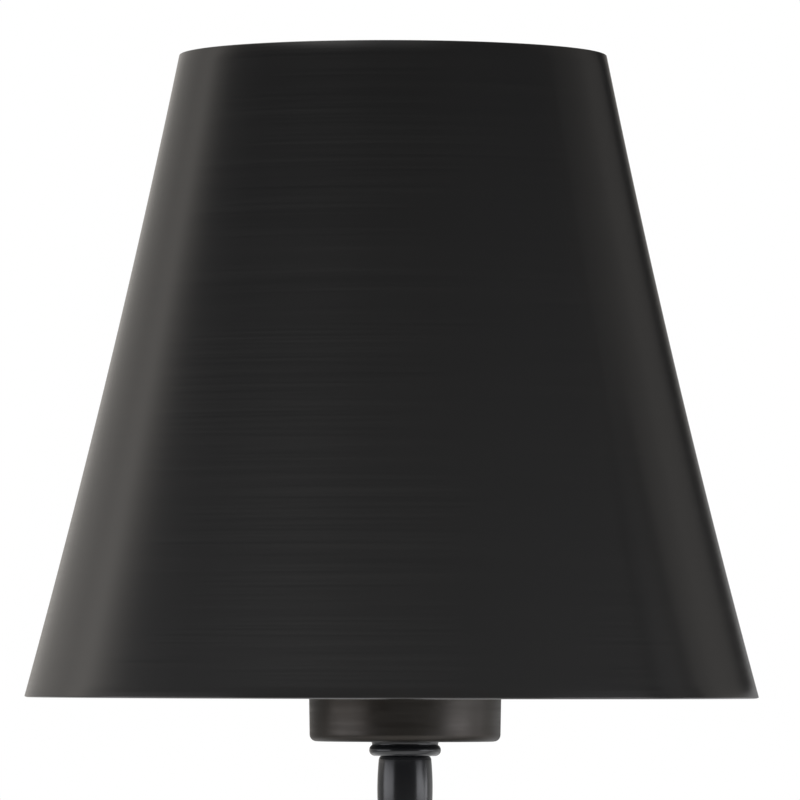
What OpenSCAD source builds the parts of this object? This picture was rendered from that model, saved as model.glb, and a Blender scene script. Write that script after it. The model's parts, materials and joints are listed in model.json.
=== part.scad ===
// Linear chandelier: a row of metal shades on turned stems along a straight bar,
// hung from a ceiling canopy by two rods that tilt in swivel yokes.
// Units are millimetres. X runs along the bar and +Z is up. The origin is the middle
// of the mounting strap's top face, in the plane of the ceiling.

/* [Lights] */
// Number of lights along the bar
light_count = 5; // [3:1:7]
// Distance between neighbouring lights
light_pitch = 300; // [200:5:360]

/* [Shade] */
// Outer diameter of the shade's top rim
shade_top_d = 88.9; // [80:0.1:110]
// Outer diameter of the shade's bottom rim
shade_bottom_d = 152.4; // [130:0.1:170]
// Height of the shade from rim to rim
shade_h = 133.4; // [125:0.1:160]
// How far the shade's side bows in from a straight cone at mid height
shade_bow = 1.1; // [0:0.1:4]
// Sheet thickness of the shade
shade_wall = 0.8; // [0.6:0.1:1.5]
// Sideways place of the shade, taken up by the play of its fitter
shade_shift = -2.8; // [-2.9:0.1:2.9]

/* [Fitter] */
// Diameter of the hole that passes over the lamp socket
fitter_hole_d = 33; // [33:0.1:34]
// Outer diameter of the flat ring round that hole
fitter_ring_d = 48; // [46:0.5:56]
// Sheet thickness of the fitter
fitter_t = 1.2; // [0.8:0.1:2]
// Number of arms from the ring to the hoop
fitter_arms = 3; // [2:1:5]
// Width of each arm
fitter_arm_w = 7; // [4:0.5:12]
// Height of the hoop that is spot welded into the shade
fitter_hoop_h = 6; // [5:0.5:10]

/* [Candle cup] */
// Outer diameter of the cup
cup_d = 40; // [40:0.1:44]
// Depth of the cup below the shade's bottom rim
cup_drop = 9.2; // [8:0.1:14]
// Height of the cup above the shade's bottom rim
cup_rise = 3; // [2:0.1:4]
// Sheet thickness of the cup
cup_wall = 1.2; // [0.8:0.1:2]
// Radius of the cup's lower edge
cup_edge_r = 1.4; // [1.3:0.1:3]

/* [Stem] */
// Height of the stem from the bar to the cup
stem_h = 95; // [85:1:140]
// Diameter of the boss under the cup
stem_boss_d = 13.9; // [12:0.1:14.4]
// Height of the boss under the cup
stem_boss_h = 0.6; // [0.4:0.1:2]
// Outer diameter of the bead rings
stem_bead_d = 14.9; // [14.6:0.1:18]
// Height of the bead rings
stem_bead_h = 2.4; // [2:0.1:4]
// Diameter of the swell below the upper bead
stem_swell_d = 11.5; // [10:0.1:13]
// Depth of the widest point of the swell below the cup
stem_swell_at = 9.7; // [8:0.1:14]
// Length over which the swell runs out into the shank
stem_swell_l = 22.5; // [18:0.5:30]
// Diameter of the slim shank
stem_shank_d = 8; // [7:0.1:9]
// Height of the flared foot
stem_flare_h = 22; // [14:1:28]
// Diameter of the foot disc on the bar
stem_foot_d = 22; // [18:0.5:25]
// Height of the foot disc
stem_foot_h = 3; // [2:0.5:5]
// Diameter of the thread that holds the cup and the socket
stem_top_thread_d = 8; // [7:0.5:8]
// Diameter of the bore for the two wires
stem_bore_d = 5; // [4.6:0.1:5.4]

/* [Bar] */
// Width of the bar
bar_w = 26; // [25:0.5:40]
// Height of the bar
bar_h = 18; // [14:0.5:30]
// Wall of the bar's tube
bar_wall = 1.6; // [1.2:0.1:2.5]
// Radius of the bar's long edges
bar_edge_r = 1; // [0.5:0.1:1.5]
// Length of the bar past the outer stems
bar_overhang = 30; // [24:1:60]
// Diameter of the ball on each end of the bar
bar_ball_d = 17; // [12:0.5:22]
// Diameter of the neck behind that ball
bar_neck_d = 10; // [7:0.5:11]
// Length of the neck behind that ball
bar_neck_l = 4; // [2:0.5:8]
// Diameter of the threads that pass down through the bar
bar_thread_d = 10; // [9.5:0.5:10]

/* [Drop finial] */
// Diameter of the collar against the bar
finial_collar_d = 18; // [15:0.5:24]
// Height of the collar
finial_collar_h = 3; // [2:0.5:5]
// Diameter of the neck between the collar and the ball
finial_neck_d = 13.4; // [12:0.1:14.5]
// Diameter of the finial's ball
finial_ball_d = 16; // [15:0.5:20]
// Diameter of the small tip under the ball
finial_tip_d = 4.4; // [3:0.1:7]
// Depth of the threaded hole in the finial
finial_hole_h = 10; // [8:0.5:12]

/* [Rods] */
// Diameter of the hanging rods
rod_d = 12.7; // [12:0.1:13.5]
// Bore of the hanging rods
rod_bore_d = 9.5; // [9:0.1:10]
// Length of each rod section, with two sections a side
rod_l = 300; // [250:5:600]
// Diameter of the coupler between two sections
coupler_d = 15.5; // [14:0.5:20]
// Height of the coupler between two sections
coupler_h = 9; // [6:0.5:16]
// Length of the spigots inside the rods
spigot_l = 12; // [8:0.5:20]
// Height of the rod's foot on the bar
rod_foot_h = 16; // [12:0.5:30]
// Diameter of the rod's foot on the bar
rod_foot_d = 24; // [18:0.5:25]
// Bore of the swivels, couplers and feet for the feed wires
feed_bore_d = 6; // [5.6:0.1:6.4]

/* [Swivel] */
// Diameter of the ball on top of each rod
swivel_ball_d = 14; // [13.6:0.1:16]
// Length from the ball's centre to the end of the rod
swivel_neck_l = 12; // [9:0.5:20]
// Thickness of each cheek of the yoke
yoke_cheek = 3.6; // [3:0.1:5]
// Diameter of the yoke's round body
yoke_d = 25; // [24:0.5:30]
// Height of the yoke's body above its cheeks
yoke_body_h = 8; // [5:0.5:14]
// Diameter of the yoke's flange under the canopy
yoke_flange_d = 34; // [30:0.5:44]
// Height of the yoke's flange
yoke_flange_h = 3; // [2:0.5:6]
// Diameter of the yoke's thread through the canopy
yoke_thread_d = 10; // [9:0.5:12]
// Shoulder diameter of the pivot screws
pivot_d = 4; // [3:0.1:5]
// Head diameter of the pivot screws
pivot_head_d = 7.5; // [6:0.1:9]
// Head height of the pivot screws
pivot_head_h = 2; // [1.5:0.1:3]

/* [Canopy] */
// Length of the canopy past each rod
canopy_overhang = 50; // [45:1:80]
// Width of the canopy
canopy_w = 114; // [90:1:150]
// Height of the canopy
canopy_h = 24; // [22:0.5:40]
// Radius of the canopy's corners
canopy_corner_r = 14; // [10:0.5:40]
// Inset of the canopy's lower step
canopy_step = 5; // [3:0.5:8]
// Height of the canopy's lower step
canopy_step_h = 6; // [4:0.5:9]
// Wall of the canopy
canopy_wall = 1.2; // [0.8:0.1:2]
// Thickness of the canopy's floor
canopy_floor = 2; // [1.5:0.1:4]
// Distance from each rod to the canopy screw beside it
canopy_screw_offset = 27; // [26:0.5:30]
// Diameter of the canopy screws
canopy_screw_d = 4.2; // [3:0.1:5]
// Diameter of the ball knobs on the canopy screws
knob_d = 11; // [9:0.5:16]
// Diameter of the collar on top of each knob
knob_collar_d = 7.8; // [6:0.1:8.8]

/* [Mounting strap] */
// Width of the strap
strap_w = 25; // [18:0.5:40]
// Thickness of the strap
strap_t = 2.5; // [1.5:0.1:4]
// Length of the strap past each canopy screw
strap_end = 10; // [6:0.5:12]
// Smaller screw spacing of ceiling boxes that the slots take
box_pitch_min = 70; // [60:0.1:72]
// Larger screw spacing of ceiling boxes that the slots take
box_pitch_max = 88.9; // [80:0.1:100]
// Width of the slots for the box screws
box_slot_w = 4.8; // [4:0.1:6]
// Diameter of the middle hole for the supply wires
strap_hole_d = 10.6; // [8:0.1:14]
// Distance from the middle of the strap to the ground screw
ground_at = 20; // [16:0.5:24]
// Shank diameter of the ground screw
ground_screw_d = 3.5; // [3:0.1:5]
// Head diameter of the ground screw
ground_head_d = 7; // [6:0.1:10]
// Head height of the ground screw
ground_head_h = 2.4; // [2:0.1:3.5]

/* [Lamp socket] */
// Outer diameter of the socket's threaded skirt
socket_d = 27; // [27:0.1:27.4]
// Height of the socket above the shade's bottom rim
socket_rise = 32; // [30:0.5:40]
// Thickness of the socket's threaded bottom
socket_bottom = 6; // [4:0.5:8]
// Height of the socket's wire chamber
socket_chamber_h = 6; // [5:0.5:8]
// Diameter of the socket's wire chamber
socket_chamber_d = 14; // [13.5:0.1:18]
// Thickness of the web that carries the contacts
socket_web = 2; // [1.5:0.1:3]
// Inner diameter of the brass screw shell
shell_bore_d = 12.3; // [12.2:0.05:12.6]
// Wall of the brass screw shell
shell_wall = 0.6; // [0.4:0.1:1]
// Diameter of the ring nut that clamps the shade's fitter
ring_nut_d = 42; // [41:0.5:46]
// Height of the ring nut
ring_nut_h = 6; // [4:0.5:10]
// Number of finger grooves round the ring nut
ring_nut_grooves = 16; // [8:1:24]

/* [Bulb] */
// Diameter of the bulb's screw cap
cap_d = 11.8; // [11.4:0.05:11.9]
// Pitch of the bulb's screw thread
cap_pitch = 2.54; // [2:0.02:3]
// Number of thread turns on the cap
cap_turns = 6; // [5:1:7]
// Height of the plain collar above the thread
cap_collar_h = 3.2; // [2:0.1:5]
// Largest diameter of the glass
glass_d = 35; // [28:0.5:38]
// Height of the glass above the cap
glass_h = 88; // [70:1:92]
// Height of the widest point of the glass
glass_belly_at = 34; // [26:1:40]
// Thickness of the glass
glass_wall = 0.8; // [0.6:0.1:1.2]

/* [Fits] */
// Gap all round where a piece slips or screws into another
fit_gap = 0.1; // [0.05:0.01:0.15]
// Gap all round a pivot screw in its turning bore
pivot_gap = 0.05; // [0.02:0.01:0.08]
// Gap between pieces that move past each other
free_gap = 0.3; // [0.3:0.05:0.5]

/* [Hidden] */
$fn = 96;

// Finishes as the object shows them
BRONZE = [0.13, 0.125, 0.12];
CUP_BRONZE = [0.18, 0.16, 0.14];
STEM_BLACK = [0.12, 0.125, 0.135];
STEEL = [0.72, 0.72, 0.70];
BRASS = [0.78, 0.62, 0.32];
PHENOLIC = [0.07, 0.07, 0.07];
GLASS = [0.92, 0.93, 0.92, 0.35];
COPPER = [0.72, 0.42, 0.24];

// Places along X
function light_x(i) = (i - (light_count + 1) / 2) * light_pitch;
LIGHTS = [for (i = [1:light_count]) light_x(i)];
rod_x = light_pitch * (light_count % 2 == 1 ? 0.5 : 1);
RODS = [-rod_x, rod_x];
feed_x = -rod_x;
bar_half = light_x(light_count) + bar_overhang;
canopy_l = 2 * (rod_x + canopy_overhang);
canopy_screw_x = rod_x + canopy_screw_offset;

// Heights, from the ceiling down
canopy_rim_h = canopy_h - canopy_step_h;
canopy_floor_z = -canopy_h + canopy_floor;
swivel_roof = swivel_ball_d / 2 + 1;
yoke_top_z = -canopy_h - yoke_flange_h;
pivot_z = yoke_top_z - yoke_body_h - swivel_roof;
rod_top_z = pivot_z - swivel_neck_l;
coupler_z = rod_top_z - rod_l - coupler_h;
lower_rod_z = coupler_z - rod_l;
bar_z = lower_rod_z - rod_foot_h;
bar_mid_z = bar_z - bar_h / 2;
cup_z = bar_z + stem_h;
rim_z = cup_z + cup_drop;

// Heights of the socket and the bulb above the shade's bottom rim
fitter_z = cup_rise;
ring_nut_z = fitter_z + fitter_t;
socket_z = -cup_drop + cup_wall;
chamber_z = socket_z + socket_bottom;
web_z = chamber_z + socket_chamber_h;
shell_z = web_z + socket_web;
contact_h = 1;
contact_d = 7;
cap_z = shell_z + contact_h + free_gap;
cap_tip_d = 4.4;
cap_tip_h = 1.2;
cap_insulator_h = 2.6;
cap_thread_z = cap_z + cap_tip_h + cap_insulator_h;
cap_thread_depth = 0.4;
glass_z = cap_thread_z + cap_turns * cap_pitch + cap_collar_h;
rivet_d = 2.4;
rivet_head = 1;
rivet_z = web_z - rivet_head;
shell_rivet_y = shell_bore_d / 2 - 1;

// Wires
wire_d = 2;
elbow_d = wire_d * 1.1;
wire_gap_y = 1.2;
wire_port_d = 3.6;
bus_y = (bar_thread_d / 2 + bar_w / 2 - bar_wall) / 2;
feed_wire_r = 1.5;
LIVE_FEED = [-feed_wire_r / 2, feed_wire_r * 0.87];
NEUTRAL_FEED = [-feed_wire_r / 2, -feed_wire_r * 0.87];
GROUND_FEED = [feed_wire_r, 0];
bond_run = 14;
lead_z = -canopy_h / 2 - 0.5;
lead_end_x = 44;
lead_y = 15;
connector_l = 24;
connector_d = 11;
connector_tip_d = 6.6;
connector_grip = 8;

yoke_slot = swivel_ball_d + 2 * free_gap;
yoke_half_w = yoke_slot / 2 + yoke_cheek;
yoke_cheek_r = swivel_ball_d / 2;
yoke_nut_h = 5;
yoke_stub_h = canopy_floor + yoke_nut_h + 2;
nut_across = 1.85;
strap_nut_h = 3;
knob_hole_h = 7;
knob_collar_h = 2;
plug_l = 9;
plug_face_t = 3;
// Free depth at the end of a blind hole
end_gap = 1;
// How far a cut or a joined stub runs past a face
past = 1;

// Shapes that repeat

// A plate with round corners, standing on z = 0
module rounded_plate(l, w, r, h) {
    linear_extrude(h) {
        square([l - 2 * r, w], center = true);
        square([l, w - 2 * r], center = true);
        for (x = [-1, 1], y = [-1, 1]) {
            translate([x * (l / 2 - r), y * (w / 2 - r)]) circle(r);
        }
    }
}

// A hexagon nut standing on z = 0
module hex_nut(thread_d, h) {
    difference() {
        cylinder(d = thread_d * nut_across, h = h, $fn = 6);
        translate([0, 0, -past]) cylinder(d = thread_d + 2 * fit_gap, h = h + 2 * past);
    }
}

// A round bar with its ends at two points
module rod_between(a, b, d) {
    run = b - a;
    length = norm(run);
    translate(a) {
        rotate([0, acos(run.z / length), atan2(run.y, run.x)]) cylinder(d = d, h = length, $fn = 24);
    }
}

// A wire along straight runs with round elbows
module wire(points) {
    for (k = [1:len(points) - 1]) {
        rod_between(points[k - 1], points[k], wire_d);
        if (k < len(points) - 1) {
            translate(points[k]) sphere(d = elbow_d, $fn = 24);
        }
    }
}

// A smooth rise from 0 to 1 as t goes from 0 to 1
function eased(t) = (1 - cos(180 * t)) / 2;

// Canopy and ceiling fixings

module canopy_shell() {
    color(BRONZE) difference() {
        union() {
            translate([0, 0, -canopy_rim_h]) {
                rounded_plate(canopy_l, canopy_w, canopy_corner_r, canopy_rim_h);
            }
            translate([0, 0, -canopy_h]) canopy_step_plate(0, canopy_rim_h);
        }
        translate([0, 0, canopy_wall - canopy_rim_h]) {
            rounded_plate(canopy_l - 2 * canopy_wall, canopy_w - 2 * canopy_wall,
                canopy_corner_r - canopy_wall, canopy_h);
        }
        translate([0, 0, canopy_floor_z]) canopy_step_plate(canopy_wall, canopy_h);
        for (x = RODS) {
            translate([x, 0, -canopy_h - past]) {
                cylinder(d = yoke_thread_d + 2 * fit_gap, h = canopy_h);
            }
        }
        for (x = [-canopy_screw_x, canopy_screw_x]) {
            translate([x, 0, -canopy_h - past]) {
                cylinder(d = canopy_screw_d + 2 * fit_gap, h = canopy_h);
            }
        }
    }
}

// The inset step of the canopy, less a wall all round
module canopy_step_plate(wall, h) {
    inset = canopy_step + wall;
    rounded_plate(canopy_l - 2 * inset, canopy_w - 2 * inset, canopy_corner_r - inset, h);
}

module mounting_strap() {
    strap_l = 2 * (canopy_screw_x + strap_end);
    slot_mid = (box_pitch_min + box_pitch_max) / 4;
    slot_run = (box_pitch_max - box_pitch_min) / 2;
    color(STEEL) translate([0, 0, -strap_t]) difference() {
        linear_extrude(strap_t) square([strap_l, strap_w], center = true);
        translate([0, 0, -past]) linear_extrude(strap_t + 2 * past) {
            circle(d = strap_hole_d);
            translate([ground_at, 0]) circle(d = ground_screw_d + 2 * fit_gap);
            for (x = [-canopy_screw_x, canopy_screw_x]) {
                translate([x, 0]) circle(d = canopy_screw_d + 2 * fit_gap);
            }
            for (x = [-slot_mid, slot_mid]) {
                translate([x, 0]) square([slot_run, box_slot_w], center = true);
                for (end = [-1, 1]) {
                    translate([x + end * slot_run / 2, 0]) circle(d = box_slot_w);
                }
            }
        }
    }
}

module canopy_screws() {
    screw_l = canopy_h + knob_hole_h - end_gap;
    color(STEEL) for (x = [-canopy_screw_x, canopy_screw_x]) {
        translate([x, 0, -screw_l]) cylinder(d = canopy_screw_d, h = screw_l);
    }
}

module strap_nuts() {
    color(STEEL) for (x = [-canopy_screw_x, canopy_screw_x]) {
        translate([x, 0, -strap_t - strap_nut_h]) hex_nut(canopy_screw_d, strap_nut_h);
    }
}

module canopy_knobs() {
    ball_z = -knob_collar_h - sqrt(pow(knob_d / 2, 2) - pow(knob_collar_d / 2, 2));
    color(BRONZE) for (x = [-canopy_screw_x, canopy_screw_x]) {
        translate([x, 0, -canopy_h]) difference() {
            union() {
                translate([0, 0, -knob_collar_h - past]) cylinder(d = knob_collar_d, h = knob_collar_h + past);
                translate([0, 0, ball_z]) sphere(d = knob_d);
            }
            translate([0, 0, -knob_hole_h]) {
                cylinder(d = canopy_screw_d + 2 * fit_gap, h = knob_hole_h + past);
            }
        }
    }
}

module ground_screw() {
    color([0.15, 0.45, 0.2]) translate([ground_at, 0, -strap_t]) {
        cylinder(d = ground_screw_d, h = strap_t);
        translate([0, 0, -ground_head_h]) cylinder(d = ground_head_d, h = ground_head_h, $fn = 6);
    }
}

// Swivels

module swivel_yoke(x) {
    color(BRONZE) translate([x, 0, 0]) difference() {
        union() {
            translate([0, 0, -canopy_h]) cylinder(d = yoke_thread_d, h = yoke_stub_h);
            translate([0, 0, yoke_top_z]) cylinder(d = yoke_flange_d, h = yoke_flange_h);
            translate([0, 0, yoke_top_z - yoke_body_h]) cylinder(d = yoke_d, h = yoke_body_h);
            intersection() {
                translate([0, 0, pivot_z - yoke_cheek_r]) {
                    cylinder(d = yoke_d, h = yoke_cheek_r + swivel_roof + past);
                }
                union() {
                    translate([-yoke_half_w, -yoke_cheek_r, pivot_z]) {
                        cube([2 * yoke_half_w, 2 * yoke_cheek_r, swivel_roof + past]);
                    }
                    translate([-yoke_half_w, 0, pivot_z]) {
                        rotate([0, 90, 0]) cylinder(r = yoke_cheek_r, h = 2 * yoke_half_w);
                    }
                }
            }
        }
        translate([-yoke_slot / 2, -yoke_d, pivot_z - yoke_d]) {
            cube([yoke_slot, 2 * yoke_d, yoke_d + swivel_roof]);
        }
        translate([-yoke_d, 0, pivot_z]) {
            rotate([0, 90, 0]) cylinder(d = pivot_d + 2 * fit_gap, h = 2 * yoke_d);
        }
        translate([0, 0, pivot_z]) cylinder(d = feed_bore_d, h = -pivot_z);
    }
}

module yoke_nuts() {
    color(STEEL) for (x = RODS) {
        translate([x, 0, canopy_floor_z]) hex_nut(yoke_thread_d, yoke_nut_h);
    }
}

// Shoulder screws through the cheeks of both yokes, into the sides of the balls
module pivot_screws() {
    tip = feed_bore_d / 2 + 0.5;
    slot_w = 1.2;
    color(BRONZE) for (x = RODS, side = [-1, 1]) {
        translate([x, 0, pivot_z]) rotate([0, 90 * side, 0]) difference() {
            union() {
                translate([0, 0, tip]) cylinder(d = pivot_d, h = yoke_half_w - tip);
                translate([0, 0, yoke_half_w]) cylinder(d = pivot_head_d, h = pivot_head_h);
            }
            translate([-pivot_head_d, -slot_w / 2, yoke_half_w + pivot_head_h / 2]) {
                cube([2 * pivot_head_d, slot_w, pivot_head_h]);
            }
        }
    }
}

module swivel_ball(x) {
    color(BRONZE) translate([x, 0, 0]) difference() {
        union() {
            translate([0, 0, pivot_z]) sphere(d = swivel_ball_d);
            translate([0, 0, rod_top_z]) cylinder(d = rod_d, h = swivel_neck_l);
            translate([0, 0, rod_top_z - spigot_l]) spigot();
        }
        translate([-swivel_ball_d, 0, pivot_z]) {
            rotate([0, 90, 0]) cylinder(d = pivot_d + 2 * pivot_gap, h = 2 * swivel_ball_d);
        }
        translate([0, 0, rod_top_z - spigot_l - past]) {
            cylinder(d = feed_bore_d, h = spigot_l + swivel_neck_l + swivel_ball_d + past);
        }
    }
}

// Rods

// The stub that screws into a rod's end, standing on z = 0
module spigot() {
    cylinder(d = rod_bore_d - 2 * fit_gap, h = spigot_l + past);
}

module rod(x, z) {
    color(BRONZE) translate([x, 0, z]) difference() {
        cylinder(d = rod_d, h = rod_l);
        translate([0, 0, -past]) cylinder(d = rod_bore_d, h = rod_l + 2 * past);
    }
}

module rod_couplers() {
    edge = coupler_h / 4;
    color(BRONZE) for (x = RODS) {
        translate([x, 0, coupler_z]) difference() {
            union() {
                translate([0, 0, -spigot_l]) spigot();
                translate([0, 0, coupler_h - past]) spigot();
                rotate_extrude() polygon([
                    [0, 0], [rod_d / 2, 0], [coupler_d / 2, edge],
                    [coupler_d / 2, coupler_h - edge], [rod_d / 2, coupler_h], [0, coupler_h]
                ]);
            }
            translate([0, 0, -spigot_l - past]) {
                cylinder(d = feed_bore_d, h = coupler_h + 2 * (spigot_l + past));
            }
        }
    }
}

// A turned foot that flares in a cove from a shank to a disc of its own, standing on z = 0
module flared_foot(top_d, foot_d, foot_h, h) {
    steps = 12;
    rotate_extrude() polygon(concat(
        [[0, 0], [foot_d / 2, 0], [foot_d / 2, foot_h]],
        [for (k = [0:steps]) [
            top_d / 2 + (foot_d * 0.44 - top_d / 2) * pow(1 - k / steps, 3),
            foot_h + (h - foot_h) * k / steps
        ]],
        [[0, h]]
    ));
}

module rod_foot(x) {
    disc_h = 3;
    top_d = rod_d + 1;
    color(BRONZE) translate([x, 0, bar_z]) difference() {
        union() {
            flared_foot(top_d, rod_foot_d, disc_h, rod_foot_h);
            translate([0, 0, rod_foot_h - past]) spigot();
            bar_thread();
        }
        translate([0, 0, -bar_thread_l() - past]) {
            cylinder(d = feed_bore_d, h = bar_thread_l() + rod_foot_h + spigot_l + 2 * past);
        }
        wire_ports();
        translate([0, 0, -bar_h / 2]) rotate([0, 90, 0]) cylinder(d = wire_port_d, h = bar_thread_d);
    }
}

// The bar and what closes it

function bar_thread_l() = bar_h + finial_hole_h - end_gap;

// The threaded stub that a foot sends down through the bar into its finial
module bar_thread() {
    translate([0, 0, -bar_thread_l()]) cylinder(d = bar_thread_d, h = bar_thread_l() + past);
}

// Cross holes that let the wires into a threaded stub, level with the middle of the bar
module wire_ports() {
    translate([0, bar_thread_d, -bar_h / 2]) {
        rotate([90, 0, 0]) cylinder(d = wire_port_d, h = 2 * bar_thread_d);
    }
}

module main_bar() {
    color(BRONZE) difference() {
        translate([-bar_half, 0, bar_mid_z]) bar_section(2 * bar_half);
        translate([-bar_half - past, bar_wall - bar_w / 2, bar_z - bar_h + bar_wall]) {
            cube([2 * (bar_half + past), bar_w - 2 * bar_wall, bar_h - 2 * bar_wall]);
        }
        for (x = concat(LIGHTS, RODS)) {
            translate([x, 0, bar_z - bar_h - past]) {
                cylinder(d = bar_thread_d + 2 * fit_gap, h = bar_h + 2 * past);
            }
        }
    }
}

// A length of the bar's outer section, from x = 0
module bar_section(l) {
    rotate([0, 90, 0]) rounded_plate(bar_h, bar_w, bar_edge_r, l);
}

// End plug with a turned ball, for the end of the bar on one side
module bar_end(side) {
    plug_w = bar_w - 2 * (bar_wall + fit_gap);
    plug_h = bar_h - 2 * (bar_wall + fit_gap);
    ball_x = plug_face_t + bar_neck_l + sqrt(pow(bar_ball_d / 2, 2) - pow(bar_neck_d / 2, 2));
    color(BRONZE) translate([side * bar_half, 0, bar_mid_z]) mirror([side < 0 ? 1 : 0, 0, 0]) {
        translate([-plug_l, -plug_w / 2, -plug_h / 2]) cube([plug_l + past, plug_w, plug_h]);
        bar_section(plug_face_t);
        translate([plug_face_t - past, 0, 0]) {
            rotate([0, 90, 0]) cylinder(d = bar_neck_d, h = bar_neck_l + 2 * past);
        }
        translate([ball_x, 0, 0]) sphere(d = bar_ball_d);
    }
}

// Turned nuts under the bar that draw the stems and rod feet down on it
module drop_finials() {
    collar_r = finial_collar_d / 2;
    ball_z = -finial_collar_h - finial_neck_d / 2;
    tip_z = ball_z - finial_ball_d / 2 - finial_tip_d / 4;
    color(BRONZE) for (x = concat(LIGHTS, RODS)) {
        translate([x, 0, bar_z - bar_h]) difference() {
            union() {
                rotate_extrude() {
                    translate([0, -finial_collar_h]) square([collar_r - finial_collar_h / 2, finial_collar_h]);
                    translate([collar_r - finial_collar_h / 2, -finial_collar_h / 2]) circle(d = finial_collar_h);
                }
                translate([0, 0, ball_z]) cylinder(d = finial_neck_d, h = -ball_z);
                translate([0, 0, ball_z]) sphere(d = finial_ball_d);
                translate([0, 0, tip_z]) sphere(d = finial_tip_d);
            }
            translate([0, 0, -finial_hole_h]) {
                cylinder(d = bar_thread_d + 2 * fit_gap, h = finial_hole_h + past);
            }
        }
    }
}

// Stems and cups

// Radius of the stem's swell at a depth below the cup
function swell_r(depth) =
    stem_shank_d / 2 + (stem_swell_d - stem_shank_d) / 2
        * (1 - eased(abs(depth - stem_swell_at) / stem_swell_l));

module stem(x) {
    bead_r = stem_bead_h / 2;
    bead_z = stem_h - stem_boss_h - bead_r;
    swell_top = stem_boss_h + stem_bead_h;
    swell_end = stem_swell_at + stem_swell_l;
    foot_z = stem_foot_h + stem_flare_h;
    low_bead_z = foot_z + bead_r;
    steps = 20;
    color(STEM_BLACK) translate([x, 0, bar_z]) difference() {
        union() {
            translate([0, 0, bead_z]) cylinder(d = stem_boss_d, h = stem_h - bead_z);
            for (z = [bead_z, low_bead_z]) {
                translate([0, 0, z]) rotate_extrude() {
                    translate([0, -bead_r]) square([stem_bead_d / 2 - bead_r, stem_bead_h]);
                    translate([stem_bead_d / 2 - bead_r, 0]) circle(bead_r);
                }
            }
            rotate_extrude() polygon(concat(
                [[0, low_bead_z], [stem_shank_d / 2, low_bead_z]],
                [for (k = [0:steps])
                    let (depth = swell_end + (swell_top - swell_end) * k / steps)
                    [swell_r(depth), stem_h - depth]],
                [[0, stem_h - swell_top]]
            ));
            flared_foot(stem_shank_d + 1.4, stem_foot_d, stem_foot_h, foot_z);
            translate([0, 0, stem_h - past]) cylinder(d = stem_top_thread_d, h = stem_thread_l() + past);
            bar_thread();
        }
        translate([0, 0, -bar_thread_l() - past]) {
            cylinder(d = stem_bore_d, h = bar_thread_l() + stem_h + stem_thread_l() + 2 * past);
        }
        wire_ports();
    }
}

// The stem's upper thread passes through the cup's floor and fills the socket's bottom
function stem_thread_l() = cup_wall + socket_bottom;

module candle_cup(x) {
    height = cup_drop + cup_rise;
    color(CUP_BRONZE) translate([x, 0, cup_z]) difference() {
        rotate_extrude() {
            square([cup_d / 2 - cup_edge_r, height]);
            translate([0, cup_edge_r]) square([cup_d / 2, height - cup_edge_r]);
            translate([cup_d / 2 - cup_edge_r, cup_edge_r]) circle(cup_edge_r);
        }
        translate([0, 0, cup_wall]) cylinder(d = cup_d - 2 * cup_wall, h = height);
        translate([0, 0, -past]) cylinder(d = stem_top_thread_d + 2 * fit_gap, h = height);
    }
}

// Sockets

module lamp_sockets() {
    pocket_d = shell_bore_d + 2 * (shell_wall + fit_gap);
    color(PHENOLIC) for (x = LIGHTS) {
        translate([x, 0, rim_z]) difference() {
            translate([0, 0, socket_z]) cylinder(d = socket_d, h = socket_rise - socket_z);
            translate([0, 0, socket_z - past]) {
                cylinder(d = stem_top_thread_d + 2 * fit_gap, h = socket_bottom + 2 * past);
            }
            translate([0, 0, chamber_z]) cylinder(d = socket_chamber_d, h = socket_chamber_h);
            translate([0, 0, shell_z]) cylinder(d = pocket_d, h = socket_rise);
            for (y = [0, -shell_rivet_y]) {
                translate([0, y, chamber_z]) {
                    cylinder(d = rivet_d + 2 * fit_gap, h = socket_rise - chamber_z);
                }
            }
        }
    }
}

// Brass shells that take the bulbs, each with the rivet that carries the neutral wire
module screw_shells() {
    floor_t = 0.6;
    floor_hole_d = contact_d + 1.2;
    color(BRASS) for (x = LIGHTS) {
        translate([x, 0, rim_z]) {
            difference() {
                translate([0, 0, shell_z]) {
                    cylinder(d = shell_bore_d + 2 * shell_wall, h = socket_rise - shell_z);
                }
                translate([0, 0, shell_z + floor_t]) cylinder(d = shell_bore_d, h = socket_rise);
                translate([0, 0, shell_z - past]) cylinder(d = floor_hole_d, h = socket_rise);
            }
            translate([0, -shell_rivet_y, rivet_z]) {
                cylinder(d = rivet_d, h = rivet_head + socket_web + floor_t);
            }
        }
    }
}

module centre_contacts() {
    color(BRASS) for (x = LIGHTS) {
        translate([x, 0, rim_z]) {
            translate([0, 0, shell_z]) cylinder(d = contact_d, h = contact_h);
            translate([0, 0, rivet_z]) cylinder(d = rivet_d, h = shell_z + contact_h - rivet_z);
        }
    }
}

// Nuts on the sockets' skirts that clamp the fitters on the cups
module ring_nuts() {
    groove_d = 4;
    color(PHENOLIC) for (x = LIGHTS) {
        translate([x, 0, rim_z + ring_nut_z]) difference() {
            cylinder(d = ring_nut_d, h = ring_nut_h);
            translate([0, 0, -past]) cylinder(d = socket_d + 2 * fit_gap, h = ring_nut_h + 2 * past);
            for (k = [1:ring_nut_grooves]) {
                rotate([0, 0, 360 * k / ring_nut_grooves]) {
                    translate([ring_nut_d / 2 + groove_d / 4, 0, ring_nut_h / 3]) {
                        cylinder(d = groove_d, h = ring_nut_h);
                    }
                }
            }
        }
    }
}

// Shades

// Outer radius of the shade at a height above its bottom rim
function shade_r(z) =
    let (t = z / shade_h)
    shade_bottom_d / 2 + (shade_top_d - shade_bottom_d) / 2 * t - 4 * shade_bow * t * (1 - t);

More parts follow.
